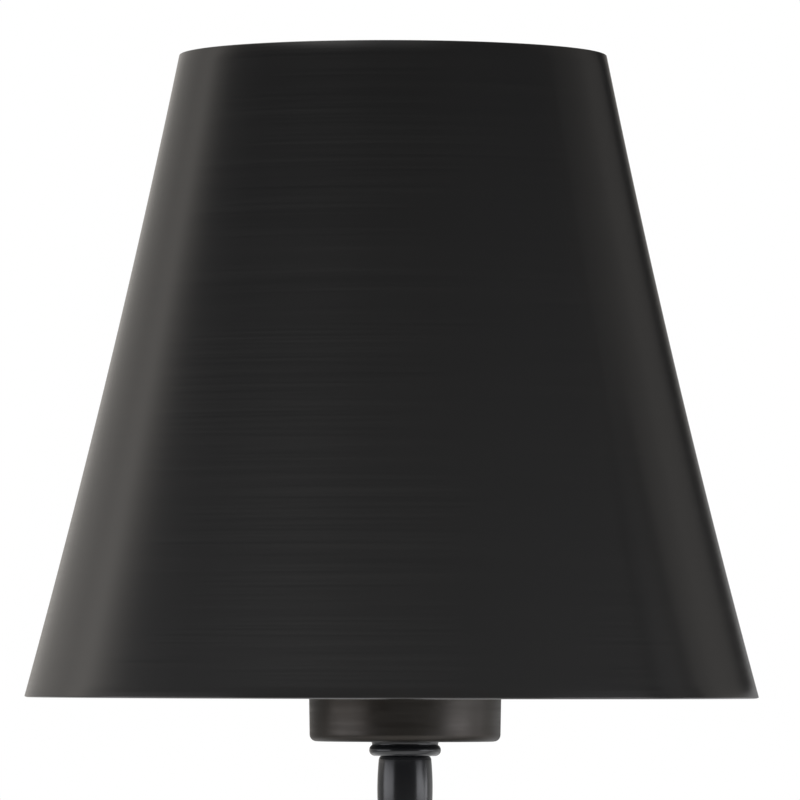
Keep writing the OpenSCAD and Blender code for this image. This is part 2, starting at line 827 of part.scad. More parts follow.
module shade(x) {
    steps = 12;
    heights = [for (k = [0:steps]) shade_h * k / steps];
    color(BRONZE) translate([x + shade_shift, 0, rim_z]) rotate_extrude() polygon(concat(
        [for (z = heights) [shade_r(z), z]],
        [for (k = [steps:-1:0]) [shade_r(heights[k]) - shade_wall, heights[k]]]
    ));
}

// Flat rings on the cups, with arms out to a hoop inside each shade
module shade_fitters() {
    hoop_t = 1;
    hoop_z = fitter_z - fitter_hoop_h / 3;
    hoop_top = hoop_z + fitter_hoop_h;
    seat = shade_wall + fit_gap;
    arm_l = shade_r(ring_nut_z) - seat - hoop_t / 2;
    color(STEEL) for (x = LIGHTS) {
        translate([x + shade_shift, 0, rim_z]) {
            translate([0, 0, fitter_z]) linear_extrude(fitter_t) difference() {
                union() {
                    circle(d = fitter_ring_d);
                    for (k = [1:fitter_arms]) {
                        rotate(90 + 360 * k / fitter_arms) {
                            translate([0, -fitter_arm_w / 2]) square([arm_l, fitter_arm_w]);
                        }
                    }
                }
                circle(d = fitter_hole_d);
            }
            rotate_extrude() polygon([
                [shade_r(hoop_z) - seat, hoop_z],
                [shade_r(hoop_top) - seat, hoop_top],
                [shade_r(hoop_top) - seat - hoop_t, hoop_top],
                [shade_r(hoop_z) - seat - hoop_t, hoop_z]
            ]);
        }
    }
}

// Bulbs

module bulb_cap(x) {
    r = cap_d / 2;
    root = r - cap_thread_depth;
    thread_top = cap_thread_z + cap_turns * cap_pitch;
    mount_h = 22;
    filament_h = 36;
    filament_ring_r = 5;
    filament_d = 1.6;
    filament_count = 4;
    color(BRASS) translate([x, 0, rim_z]) {
        rotate_extrude() polygon(concat(
            [[0, cap_z], [cap_tip_d / 2, cap_z], [cap_tip_d / 2, cap_z + cap_tip_h]],
            [[root, cap_thread_z]],
            [for (k = [0:cap_turns - 1], step = [0, 0.5])
                [step == 0 ? root : r, cap_thread_z + (k + step) * cap_pitch + 0.01]],
            [[root, thread_top], [root, glass_z], [0, glass_z]]
        ));
        translate([0, 0, glass_z]) {
            cylinder(r = filament_ring_r * 0.5, h = mount_h);
            for (z = [mount_h - filament_d, mount_h + filament_h - filament_d]) {
                translate([0, 0, z]) cylinder(r = filament_ring_r + filament_d, h = filament_d);
            }
            for (k = [1:filament_count]) {
                rotate([0, 0, 360 * k / filament_count]) translate([filament_ring_r, 0, mount_h - past]) {
                    cylinder(d = filament_d, h = filament_h);
                }
            }
        }
    }
}

// Outer radius of the glass at a height above the cap
function glass_r(z) =
    let (neck_r = cap_d / 2, neck_h = 5, belly_r = glass_d / 2)
    z < neck_h ? neck_r
    : z < glass_belly_at ? neck_r + (belly_r - neck_r) * eased((z - neck_h) / (glass_belly_at - neck_h))
    : belly_r * pow(1 - pow((z - glass_belly_at) / (glass_h - glass_belly_at), 2.2), 0.62);

module bulb_glass(x) {
    steps = 36;
    inner_h = glass_h - 2 * glass_wall;
    color(GLASS) translate([x, 0, rim_z + glass_z]) rotate_extrude() polygon(concat(
        [for (k = [0:steps - 1]) [glass_r(glass_h * k / steps), glass_h * k / steps]],
        [[0, glass_h], [0, inner_h]],
        [for (k = [steps - 1:-1:0])
            [max(0.2, glass_r(glass_h * k / steps) - glass_wall), inner_h * k / steps]]
    ));
}

// Wiring

// The two wires of the bar: a bus along it, a branch up each stem and a feed up one rod.
// side is 1 for the live wire and -1 for the neutral one.
module bar_wires(side, feed, end_y) {
    chamber_mid = rim_z + chamber_z + 0.8 * wire_d;
    for (k = [1:light_count]) {
        x = LIGHTS[k - 1];
        wire(concat(
            [[x, side * bus_y, bar_mid_z], [x, side * wire_gap_y, bar_mid_z]],
            [[x, side * wire_gap_y, chamber_mid]],
            end_y == 0 ? [] : [[x, end_y, chamber_mid]],
            [[x, end_y == 0 ? side * wire_gap_y : end_y, rim_z + rivet_z]]
        ));
        if (k < light_count) {
            rod_between([x, side * bus_y, bar_mid_z], [LIGHTS[k], side * bus_y, bar_mid_z], wire_d);
        }
        translate([x, side * bus_y, bar_mid_z]) sphere(d = elbow_d, $fn = 24);
    }
    wire([
        [feed_x + feed.x, side * bus_y, bar_mid_z],
        [feed_x + feed.x, feed.y, bar_mid_z],
        [feed_x + feed.x, feed.y, pivot_z - swivel_neck_l / 2]
    ]);
}

module wires_live() {
    color(PHENOLIC) bar_wires(1, LIVE_FEED, 0);
}

module wires_neutral() {
    color([0.85, 0.85, 0.82]) bar_wires(-1, NEUTRAL_FEED, -shell_rivet_y);
}

// Bare bonding wire from the bar's inner wall up the rod
module wire_ground() {
    x = feed_x + GROUND_FEED.x;
    color(COPPER) wire([
        [feed_x + bond_run, 0, bar_z - bar_wall],
        [feed_x + bond_run, 0, bar_mid_z],
        [x, 0, bar_mid_z],
        [x, 0, pivot_z - swivel_neck_l / 2]
    ]);
}

// A lead in the canopy, from the swivel to the connector on one side
module canopy_lead(feed, side) {
    x = feed_x + feed.x;
    wire([
        [x, feed.y, pivot_z + swivel_roof],
        [x, feed.y, lead_z],
        [x, side * lead_y, lead_z],
        [feed_x + lead_end_x, side * lead_y, lead_z]
    ]);
}

module lead_live() {
    color(PHENOLIC) canopy_lead(LIVE_FEED, 1);
}

module lead_neutral() {
    color([0.85, 0.85, 0.82]) canopy_lead(NEUTRAL_FEED, -1);
}

module lead_ground() {
    head_z = -strap_t - ground_head_h;
    x = feed_x + GROUND_FEED.x;
    color(COPPER) wire([
        [x, 0, pivot_z + swivel_roof],
        [x, 0, lead_z],
        [ground_at, 0, lead_z],
        [ground_at, 0, head_z]
    ]);
}

// Twist-on caps over the ends of the live and neutral leads
module wire_connectors() {
    color([0.85, 0.4, 0.1]) for (side = [-1, 1]) {
        translate([feed_x + lead_end_x - connector_grip, side * lead_y, lead_z]) rotate([0, 90, 0]) {
            difference() {
                cylinder(d1 = connector_d, d2 = connector_tip_d, h = connector_l);
                translate([0, 0, -past]) cylinder(d = wire_d + 2 * fit_gap, h = connector_grip + past);
            }
        }
    }
}

canopy_shell();
mounting_strap();
canopy_screws();
strap_nuts();
canopy_knobs();
swivel_yoke(-rod_x);  // swivel_yoke_left
swivel_yoke(rod_x);  // swivel_yoke_right
yoke_nuts();
pivot_screws();
ground_screw();
lead_live();
lead_neutral();
lead_ground();
wire_connectors();
swivel_ball(-rod_x);  // swivel_ball_left
swivel_ball(rod_x);  // swivel_ball_right
rod(-rod_x, coupler_z + coupler_h);  // upper_rod_left
rod(rod_x, coupler_z + coupler_h);  // upper_rod_right
rod_couplers();
rod(-rod_x, lower_rod_z);  // lower_rod_left
rod(rod_x, lower_rod_z);  // lower_rod_right
rod_foot(-rod_x);  // rod_foot_left
rod_foot(rod_x);  // rod_foot_right
main_bar();
bar_end(-1);  // bar_end_left
bar_end(1);  // bar_end_right
drop_finials();
wires_live();
wires_neutral();
wire_ground();
lamp_sockets();
screw_shells();
centre_contacts();
ring_nuts();
shade_fitters();
for (i = [1:light_count]) {
    stem(light_x(i));
    candle_cup(light_x(i));
    shade(light_x(i));
    bulb_cap(light_x(i));
    bulb_glass(light_x(i));
}
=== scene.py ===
# A linear chandelier: dark metal shades on turned stems along a bar, hung by two rods from a canopy.
import json
import math

import bmesh
import bpy
from mathutils import Matrix, Vector


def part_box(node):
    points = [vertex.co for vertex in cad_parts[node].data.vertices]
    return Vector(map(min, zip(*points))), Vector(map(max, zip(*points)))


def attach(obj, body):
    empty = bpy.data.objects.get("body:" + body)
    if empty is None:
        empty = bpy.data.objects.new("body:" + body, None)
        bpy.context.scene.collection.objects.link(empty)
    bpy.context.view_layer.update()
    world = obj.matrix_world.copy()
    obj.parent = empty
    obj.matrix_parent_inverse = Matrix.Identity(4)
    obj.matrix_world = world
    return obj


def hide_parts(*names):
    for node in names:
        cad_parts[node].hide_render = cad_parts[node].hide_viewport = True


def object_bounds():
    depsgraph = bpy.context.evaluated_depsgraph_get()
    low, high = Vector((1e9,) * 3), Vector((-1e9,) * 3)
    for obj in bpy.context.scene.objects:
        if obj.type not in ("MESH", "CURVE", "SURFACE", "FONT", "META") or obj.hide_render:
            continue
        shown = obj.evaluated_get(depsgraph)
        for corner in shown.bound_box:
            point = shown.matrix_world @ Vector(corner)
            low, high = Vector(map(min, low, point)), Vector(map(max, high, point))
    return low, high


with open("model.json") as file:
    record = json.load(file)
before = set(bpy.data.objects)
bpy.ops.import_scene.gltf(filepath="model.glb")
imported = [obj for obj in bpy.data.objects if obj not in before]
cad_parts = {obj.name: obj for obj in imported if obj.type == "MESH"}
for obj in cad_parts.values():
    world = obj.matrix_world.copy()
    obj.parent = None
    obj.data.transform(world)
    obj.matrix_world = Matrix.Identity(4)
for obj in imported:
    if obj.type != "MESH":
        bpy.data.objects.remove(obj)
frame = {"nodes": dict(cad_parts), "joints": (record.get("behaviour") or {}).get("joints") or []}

CAD_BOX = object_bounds()
MM = 0.001
WAYS = (-1, 1)
SIDES = ("left", "right")


# Places in metres and sizes in millimetres, read from the frame

def low(node):
    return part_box(node)[0]


def high(node):
    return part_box(node)[1]


def middle(node):
    return (low(node) + high(node)) / 2


def width(node):
    return (high(node).x - low(node).x) / MM


def breadth(node):
    return (high(node).y - low(node).y) / MM


def height(node):
    return (high(node).z - low(node).z) / MM


LIGHTS = range(1, 1 + sum(name.startswith("stem_") for name in frame["nodes"]))
MAIN_LIGHT = 1
RIM_Z = low("shade_1").z
SHADE_TOP_Z = high("shade_1").z
CUP_Z = low("candle_cup_1").z
BAR_Z = high("main_bar").z
BAR_UNDER_Z = low("main_bar").z
BAR_MIDDLE_Z = (BAR_Z + BAR_UNDER_Z) / 2
PIVOT_Z = next(j for j in frame["joints"] if j["name"] == "swivel_tilt")["pos_m"][2]
STEM_X = {k: middle(f"candle_cup_{k}").x for k in LIGHTS}
SHADE_X = {k: middle(f"shade_{k}").x for k in LIGHTS}
ROD_X = {side: middle(f"upper_rod_{side}").x for side in SIDES}


def above_rim(z):
    """A height in millimetres above the rims of the shades."""
    return (z - RIM_Z) / MM


def above_bar(z):
    """A height in millimetres above the bar."""
    return (z - BAR_Z) / MM


# Nodes of finishes and of Geometry Nodes trees

# The range of a noise that counts, because it seldom leaves it
NOISE_RANGE = (0.3, 0.7)


def feed(tree, node, sockets):
    """Sets a node's sockets to numbers or to the outputs of other nodes."""
    for key, value in sockets.items():
        if isinstance(value, bpy.types.NodeSocket):
            tree.links.new(value, node.inputs[key])
        else:
            node.inputs[key].default_value = value


def add(tree, kind, sockets=None, **settings):
    """A new node with its settings and sockets set."""
    made = tree.nodes.new(kind)
    for key, value in settings.items():
        setattr(made, key, value)
    feed(tree, made, sockets or {})
    return made


def output(tree, kind, sockets=None, **settings):
    """The first output of a new node."""
    return add(tree, kind, sockets, **settings).outputs[0]


def reckon(tree, operation, *values):
    return output(tree, "ShaderNodeMath", dict(enumerate(values)), operation=operation)


def mapped(tree, value, start, end, least=0.0, most=1.0, **settings):
    """A number led over from one range to another."""
    return output(tree, "ShaderNodeMapRange", {
        "Value": value, "From Min": start, "From Max": end, "To Min": least, "To Max": most
    }, **settings)


def blend(tree, factor, first, second):
    """A colour between two others."""
    mix = add(tree, "ShaderNodeMix", {"Factor": factor, 6: first, 7: second}, data_type="RGBA")
    return mix.outputs[2]


def read_off(tree, factor, stops):
    """A colour read off a row of stops: places from 0 to 1, each with its colour."""
    ramp = add(tree, "ShaderNodeValToRGB", {"Fac": factor})
    row = ramp.color_ramp.elements
    places = sorted(stops)
    while len(row) < len(places):
        row.new(0.5)
    for element, place in zip(row, places):
        element.position = place
    for element, place in zip(row, places):
        element.color = (*stops[place], 1)
    return ramp.outputs["Color"]


def grain(tree, scale, detail=2.0, stretch=(1, 1, 1)):
    """Noise on the piece's own place, drawn out along some axes."""
    place = add(tree, "ShaderNodeTexCoord").outputs["Object"]
    drawn = output(tree, "ShaderNodeMapping", {"Vector": place, "Scale": stretch})
    return output(tree, "ShaderNodeTexNoise", {"Vector": drawn, "Scale": scale, "Detail": detail})


def tones(tree, factor, dark, light, start=0.35, end=0.65):
    """A colour between two tones, led by a noise."""
    return read_off(tree, factor, {start: dark, end: light})


def between(tree, factor, least, most):
    """A number between two limits, led by a noise."""
    return mapped(tree, factor, *NOISE_RANGE, least, most)


def relief(tree, pattern, strength, depth):
    return output(tree, "ShaderNodeBump", {"Height": pattern, "Strength": strength, "Distance": depth})


def worn(tree, colour, bright, share):
    """Lets the bare metal show along the edges that the mesh marks as worn."""
    edge = add(tree, "ShaderNodeAttribute", attribute_name="worn").outputs["Fac"]
    patchy = between(tree, grain(tree, 260, detail=3), 0, share)
    return blend(tree, reckon(tree, "MULTIPLY", edge, patchy), colour, (*bright, 1))


def by_height(tree, colour, low_z, low_share, high_z, high_share):
    """A colour that darkens or lightens from one height to another."""
    place = add(tree, "ShaderNodeTexCoord").outputs["Object"]
    z = add(tree, "ShaderNodeSeparateXYZ", {0: place}).outputs["Z"]
    share = mapped(tree, z, low_z, high_z, low_share, high_share)
    return output(tree, "ShaderNodeVectorMath", {0: colour, "Scale": share}, operation="SCALE")


# Finishes

# Painted light and shade on the lampshades: how much their colour is lightened towards the lower rim and
# darkened towards the upper one
PAINTED_LIGHT_LOW = 1.28
PAINTED_SHADE_HIGH = 0.78
# Painted shade along the lower edge of the cups: how dark it makes the colour there, and how far up it
# reaches
PAINTED_CUP_SHADE = 0.2
PAINTED_CUP_SHADE_H = 0.0014


def new_finish(name):
    """An empty finish: the material, its node tree and its shader."""
    finish = bpy.data.materials.new(name)
    finish.use_nodes = True
    return finish, finish.node_tree, finish.node_tree.nodes["Principled BSDF"]


def brushed_bronze():
    """Dark bronze sheet, brushed round and round by hand."""
    finish, tree, shader = new_finish("brushed_bronze")
    strokes = grain(tree, 1.0, detail=3, stretch=(14, 14, 2600))
    clouds = grain(tree, 16, detail=3)
    mixed = output(tree, "ShaderNodeMix", {"Factor": 0.35, "A": strokes, "B": clouds})
    colour = tones(tree, mixed, (0.064, 0.0635, 0.064), (0.074, 0.073, 0.072), *NOISE_RANGE)
    colour = worn(tree, colour, (0.10, 0.085, 0.07), 0.12)
    feed(tree, shader, {
        "Metallic": 0.8, "Anisotropic": 0.4, "Anisotropic Rotation": 0.25,
        # Painted light and shade: the colour is lighter towards the lower rim and darker towards the top
        "Base Color": by_height(tree, colour, RIM_Z, PAINTED_LIGHT_LOW, SHADE_TOP_Z, PAINTED_SHADE_HIGH),
        "Roughness": between(tree, strokes, 0.17, 0.22),
        "Normal": relief(tree, strokes, 0.012, 0.00003),
        "Tangent": output(tree, "ShaderNodeTangent", direction_type="UV_MAP", uv_map="around"),
    })
    return finish


def satin_bronze(name, dark, light, roughness, shaded_edge_z=None):
    """Dark bronze with a soft hand-rubbed sheen, and where a lower edge is given, painted shade darkening it
    along that edge.
    """
    finish, tree, shader = new_finish(name)
    clouds = grain(tree, 60, detail=4)
    rubs = grain(tree, 1.0, stretch=(40, 40, 900))
    colour = worn(tree, tones(tree, clouds, dark, light), (0.12, 0.10, 0.085), 0.2)
    if shaded_edge_z is not None:
        # Painted shade: the colour darkens towards the lower edge
        colour = by_height(tree, colour, shaded_edge_z, PAINTED_CUP_SHADE, shaded_edge_z + PAINTED_CUP_SHADE_H, 1.0)
    feed(tree, shader, {
        "Metallic": 1.0, "Base Color": colour,
        "Roughness": between(tree, rubs, roughness - 0.04, roughness + 0.06),
        "Normal": relief(tree, clouds, 0.04, 0.0001),
    })
    return finish


def gloss_black():
    """Blue-black lacquer over turned metal, with the faint ripple of sprayed coats."""
    finish, tree, shader = new_finish("stem_black")
    clouds = grain(tree, 35, detail=3)
    colour = tones(tree, clouds, (0.007, 0.0078, 0.0094), (0.0115, 0.0128, 0.0152))
    feed(tree, shader, {
        "Metallic": 0.0, "Coat Weight": 0.35, "Coat Roughness": 0.16, "IOR": 1.6,
        "Base Color": worn(tree, colour, (0.10, 0.085, 0.07), 0.35),
        "Roughness": between(tree, clouds, 0.23, 0.31),
        "Normal": relief(tree, grain(tree, 420), 0.03, 0.0001),
    })
    return finish


def plain_metal(name, dark, light, roughness, scratch):
    """Plated or bare metal with fine scratches."""
    finish, tree, shader = new_finish(name)
    scratches = grain(tree, 1.0, detail=3, stretch=scratch)
    feed(tree, shader, {
        "Metallic": 1.0, "Base Color": tones(tree, scratches, dark, light),
        "Roughness": between(tree, scratches, roughness - 0.05, roughness + 0.05),
        "Normal": relief(tree, scratches, 0.06, 0.00005),
    })
    return finish


def moulded(name, dark, light, roughness):
    """Moulded plastic or wire insulation with a fine pebbled skin."""
    finish, tree, shader = new_finish(name)
    pebbles = grain(tree, 1500)
    feed(tree, shader, {
        "Base Color": tones(tree, grain(tree, 90), dark, light),
        "Roughness": between(tree, pebbles, roughness - 0.06, roughness + 0.08),
        "Normal": relief(tree, pebbles, 0.12, 0.00008),
    })
    return finish


def clear_glass():
    finish, tree, shader = new_finish("clear_glass")
    waves = grain(tree, 40, detail=1)
    feed(tree, shader, {
        "Transmission Weight": 1.0, "IOR": 1.47,
        "Base Color": tones(tree, waves, (0.93, 0.95, 0.94), (0.98, 0.99, 0.98)),
        "Roughness": between(tree, waves, 0.0, 0.03),
    })
    return finish


SHADE_BRONZE = brushed_bronze()
# The cups get painted shade along their lower edge
CUP_BRONZE = satin_bronze("cup_bronze", (0.068, 0.061, 0.054), (0.091, 0.085, 0.079), 0.38, CUP_Z)
STEM_BLACK = gloss_black()
FRAME_BRONZE = satin_bronze("frame_bronze", (0.074, 0.067, 0.060), (0.097, 0.090, 0.083), 0.34)
ZINC = plain_metal("zinc_plate", (0.50, 0.50, 0.49), (0.57, 0.57, 0.56), 0.36, (900, 900, 900))
BRASS = plain_metal("drawn_brass", (0.62, 0.45, 0.19), (0.78, 0.60, 0.30), 0.28, (200, 200, 900))
COPPER = plain_metal("bare_copper", (0.62, 0.31, 0.18), (0.76, 0.42, 0.26), 0.32, (300, 300, 300))
GREEN_STEEL = plain_metal("green_lacquer", (0.05, 0.22, 0.08), (0.09, 0.32, 0.13), 0.35, (300, 300, 300))
PHENOLIC = moulded("black_phenolic", (0.012, 0.012, 0.012), (0.022, 0.021, 0.020), 0.42)
WIRE_BLACK = moulded("black_insulation", (0.012, 0.012, 0.012), (0.02, 0.02, 0.02), 0.40)
WIRE_WHITE = moulded("white_insulation", (0.66, 0.66, 0.62), (0.76, 0.76, 0.72), 0.40)
ORANGE = moulded("orange_plastic", (0.60, 0.17, 0.03), (0.72, 0.23, 0.05), 0.38)
FILAMENT = moulded("filament_phosphor", (0.72, 0.52, 0.16), (0.80, 0.60, 0.22), 0.50)
GLASS = clear_glass()


# Outlines, in millimetres

# Degrees between the points of a rounding, how much of a side it may take, and where a point holds the side
ROUND_STEP = 18
SIDE_SHARE = 0.45
HOLD_SHARE = 0.49
# How worn an outline is beside a rounding and on it
HOLD_WEAR = 0.3
FULL_WEAR = 1.0


def arc(centre_r, centre_z, radius, start, end, steps):
    """Points on an arc of an outline, by its angles in degrees."""
    angles = [math.radians(start + (end - start) * i / steps) for i in range(steps + 1)]
    return [(centre_r + radius * math.cos(a), centre_z + radius * math.sin(a)) for a in angles]


def softened(corners, closed=False):
    """An outline with its corners rounded. A corner is (r, z) or (r, z, rounding).

    Returns points (r, z, worn), where worn marks the rounded stretches.
    """
    count = len(corners)
    points = []
    for i, corner in enumerate(corners):
        here = Vector(corner[:2])
        radius = corner[2] if len(corner) > 2 else 0
        at_end = not closed and i in (0, count - 1)
        if radius == 0 or at_end:
            points.append((here.x, here.y, 0.0))
            continue
        back = Vector(corners[i - 1][:2]) - here
        ahead = Vector(corners[(i + 1) % count][:2]) - here
        half = back.angle(ahead) / 2
        reach = min(radius / math.tan(half), SIDE_SHARE * back.length, SIDE_SHARE * ahead.length)
        radius = reach * math.tan(half)
        back.normalize()
        ahead.normalize()
        centre = here + (back + ahead).normalized() * (radius / math.sin(half))
        first = here + back * reach - centre
        turn = first.angle_signed(here + ahead * reach - centre)
        steps = max(2, math.ceil(abs(turn) / math.radians(ROUND_STEP)))
        hold = HOLD_SHARE * reach / SIDE_SHARE
        points.append((*(here + back * hold), HOLD_WEAR))
        for step in range(steps + 1):
            spoke = Matrix.Rotation(-turn * step / steps, 2) @ first
            points.append((*(centre + spoke), FULL_WEAR))
        points.append((*(here + ahead * hold), HOLD_WEAR))
    return points


def latitude(radius, ball_r):
    """The angle in degrees at which a ball has a radius round its axis."""
    return math.degrees(math.acos(radius / ball_r))


def eased(t):
    """A smooth rise from 0 to 1."""
    return (1 - math.cos(math.pi * min(max(t, 0), 1))) / 2


# Meshes

SHARP_ANGLE = math.radians(38)
BEVEL = {"segments": 3, "limit_method": "ANGLE", "angle_limit": math.radians(40)}
POLE_R = 1e-6
SLIVER = 0.005
DRILL_STEPS = 48
DRILL_OVER = 1.0


def smoothed(mesh):
    """The mesh with smooth faces, but for its sharp edges."""
    mesh.shade_smooth()
    mesh.set_sharp_from_angle(angle=SHARP_ANGLE)
    return mesh


def plain_mesh(points, edges, faces):
    mesh = bpy.data.meshes.new("mesh")
    mesh.from_pydata(points, edges, faces)
    return mesh


def mark_worn(mesh, values):
    """Marks how worn each point is, from 0 to 1."""
    mark = mesh.attributes.get("worn") or mesh.attributes.new("worn", "FLOAT", "POINT")
    mark.data.foreach_set("value", values)


def turned(outline, steps=96, closed=False, reshape=None):
    """A piece turned on a lathe round the Z axis, from an outline in millimetres, with its UV map.

    The outline runs up the outside, and where it is closed, down the inside again.
    reshape(r, z, angle) gives the radius where grooves are cut in afterwards.
    """
    rows = [point if len(point) > 2 else (*point, 0.0) for point in outline]
    poles = [abs(row[0]) < POLE_R for row in rows]
    vertices, worn_values, first = [], [], []
    for (r, z, wear), pole in zip(rows, poles):
        first.append(len(vertices))
        for j in range(1 if pole else steps):
            angle = 2 * math.pi * j / steps
            reach = reshape(r, z, angle) if reshape else r
            vertices.append((reach * math.cos(angle) * MM, reach * math.sin(angle) * MM, z * MM))
            worn_values.append(wear)
    runs = [0.0]
    for a, b in zip(rows, rows[1:] + rows[:1]):
        runs.append(runs[-1] + math.dist(a[:2], b[:2]))
    faces, uvs = [], []
    for i in range(len(rows) if closed else len(rows) - 1):
        below, above = i, (i + 1) % len(rows)
        if poles[below] and poles[above]:
            continue
        for j in range(steps):
            ahead = (j + 1) % steps
            corners = [(below, j, j), (below, ahead, j + 1), (above, ahead, j + 1), (above, j, j)]
            if poles[below]:
                corners.pop(1)
            elif poles[above]:
                corners.pop(2)
            faces.append([first[row] + (0 if poles[row] else column) for row, column, lap in corners])
            for row, column, lap in corners:
                uvs += (lap / steps, runs[i] if row == below else runs[i + 1])
    mesh = plain_mesh(vertices, [], faces)
    mark_worn(mesh, worn_values)
    mesh.uv_layers.new(name="around").data.foreach_set("uv", uvs)
    return smoothed(mesh)


def turned_solid(corners, steps):
    """A turned piece without a hole, from the corners of its outline."""
    return turned(softened(corners), steps)


def turned_ring(corners, steps, reshape=None):
    """A turned piece with a hole through it, from the corners of its closed outline."""
    return turned(softened(corners, closed=True), steps, closed=True, reshape=reshape)


def put(mesh, x=0.0, y=0.0, z=0.0, turn=None):
    """Moves a mesh to its place, after an optional turn."""
    mesh.transform(Matrix.Translation((x, y, z)) @ (turn or Matrix.Identity(4)))
    return mesh


def sideways(way=1):
    """The turn that lays an upright piece along the bar, with its top to the left (-1) or right (1)."""
    return Matrix.Rotation(math.radians(90 * way), 4, "Y")


def joined(meshes):
    """Several meshes as one, with their marks and UV maps."""
    collected = bmesh.new()
    for mesh in meshes:
        collected.from_mesh(mesh)
    whole = bpy.data.meshes.new("joined")
    collected.to_mesh(whole)
    collected.free()
    for mesh in meshes:
        bpy.data.meshes.remove(mesh)
    return whole


def repeated(make, places, z=0.0):
    """One mesh that repeats a piece at places along the bar."""
    return joined([put(make(), x, 0, z) for x in places])


def new_object(name, data):
    made = bpy.data.objects.new(name, data)
    bpy.context.scene.collection.objects.link(made)
    return made


def show(name, mesh, finish, body, *nodes, slot=None):
    """A finished piece that rides on a body, and stands for its CAD nodes. The slot it is given is not used.
    """
    mesh.name = name
    mesh.materials.clear()
    mesh.materials.append(finish)
    piece = new_object(name, mesh)
    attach(piece, body)
    if nodes:
        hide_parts(*nodes)


def modify(holder, kind, **settings):
    """A new modifier with its settings set."""
    modifier = holder.modifiers.new(kind.lower(), kind)
    for key, value in settings.items():
        setattr(modifier, key, value)
    return modifier


def evaluated(holder):
    """The mesh that an object's modifiers make. The object is removed."""
    graph = bpy.context.evaluated_depsgraph_get()
    mesh = bpy.data.meshes.new_from_object(
        holder.evaluated_get(graph), preserve_all_data_layers=True, depsgraph=graph
    )
    bpy.data.objects.remove(holder)
    return mesh


def eased_edges(mesh, edge):
    """The mesh with its sharp edges rounded."""
    holder = new_object("eased", mesh)
    modify(holder, "BEVEL", width=edge * MM, harden_normals=True, **BEVEL)
    return evaluated(holder)


def worked(mesh, work):
    """The mesh after a function has worked on its points, edges and faces."""
    shape = bmesh.new()
    shape.from_mesh(mesh)
    work(shape)
    shape.to_mesh(mesh)
    shape.free()
    return mesh


def drop_slivers(shape):
    bmesh.ops.dissolve_degenerate(shape, dist=SLIVER * MM, edges=shape.edges)


def face_outwards(shape):
    bmesh.ops.recalc_face_normals(shape, faces=shape.faces)


def cut_away(mesh, knife):
    """The mesh with the knife's shape cut out of it."""
    cutter = new_object("knife", knife)
    holder = new_object("cut", mesh)
    modify(holder, "BOOLEAN", object=cutter, operation="DIFFERENCE", solver="EXACT")
    result = evaluated(holder)
    bpy.data.objects.remove(cutter)
    return smoothed(worked(result, drop_slivers))


def drill(places, radius, bottom, top):
    """Upright cylinders at places along the bar, to cut holes with. They reach a little beyond the hole."""
    start = bottom - DRILL_OVER
    end = top + DRILL_OVER
    outline = [(0, start), (radius, start), (radius, end), (0, end)]
    return repeated(lambda: turned(outline, DRILL_STEPS), places)


# Geometry Nodes trees, in metres

WELD = 0.00001
RIDGE_SIDES = 6
STICK_SIDES = 10
WIRE_SIDES = 20
BEND_STEPS = 10


def new_tree(name, **inputs):
    """An empty Geometry Nodes tree with named inputs for its sizes, and those inputs."""
    tree = bpy.data.node_groups.new(name, "GeometryNodeTree")

    def socket(label, kind, way="INPUT"):
        return tree.interface.new_socket(label, in_out=way, socket_type=f"NodeSocket{kind}")

    socket("Route", "Geometry")
    for label, default in inputs.items():
        socket(label, "Int" if isinstance(default, int) else "Float").default_value = default
    socket("Finish", "Material")
    socket("Mesh", "Geometry", "OUTPUT")
    return tree, tree.nodes.new("NodeGroupInput").outputs


def end_tree(tree, inputs, geometry):
    """Ends a tree in real geometry with its finish."""
    real = output(tree, "GeometryNodeRealizeInstances", {"Geometry": geometry})
    coated = output(tree, "GeometryNodeSetMaterial", {"Geometry": real, "Material": inputs["Finish"]})
    add(tree, "NodeGroupOutput", {"Mesh": coated})
    return tree


def grown(tree, finish, route=(), **sizes):
    """The mesh that a tree makes at these sizes, along a route of points where it has one."""
    line = plain_mesh(route, [(i, i + 1) for i in range(len(route) - 1)], [])
    holder = new_object(tree.name, line)
    modifier = modify(holder, "NODES", node_group=tree)
    values = {"Finish": finish, **sizes}
    for socket in tree.interface.items_tree:
        if socket.name in values:
            modifier[socket.identifier] = values[socket.name]
    return evaluated(holder)


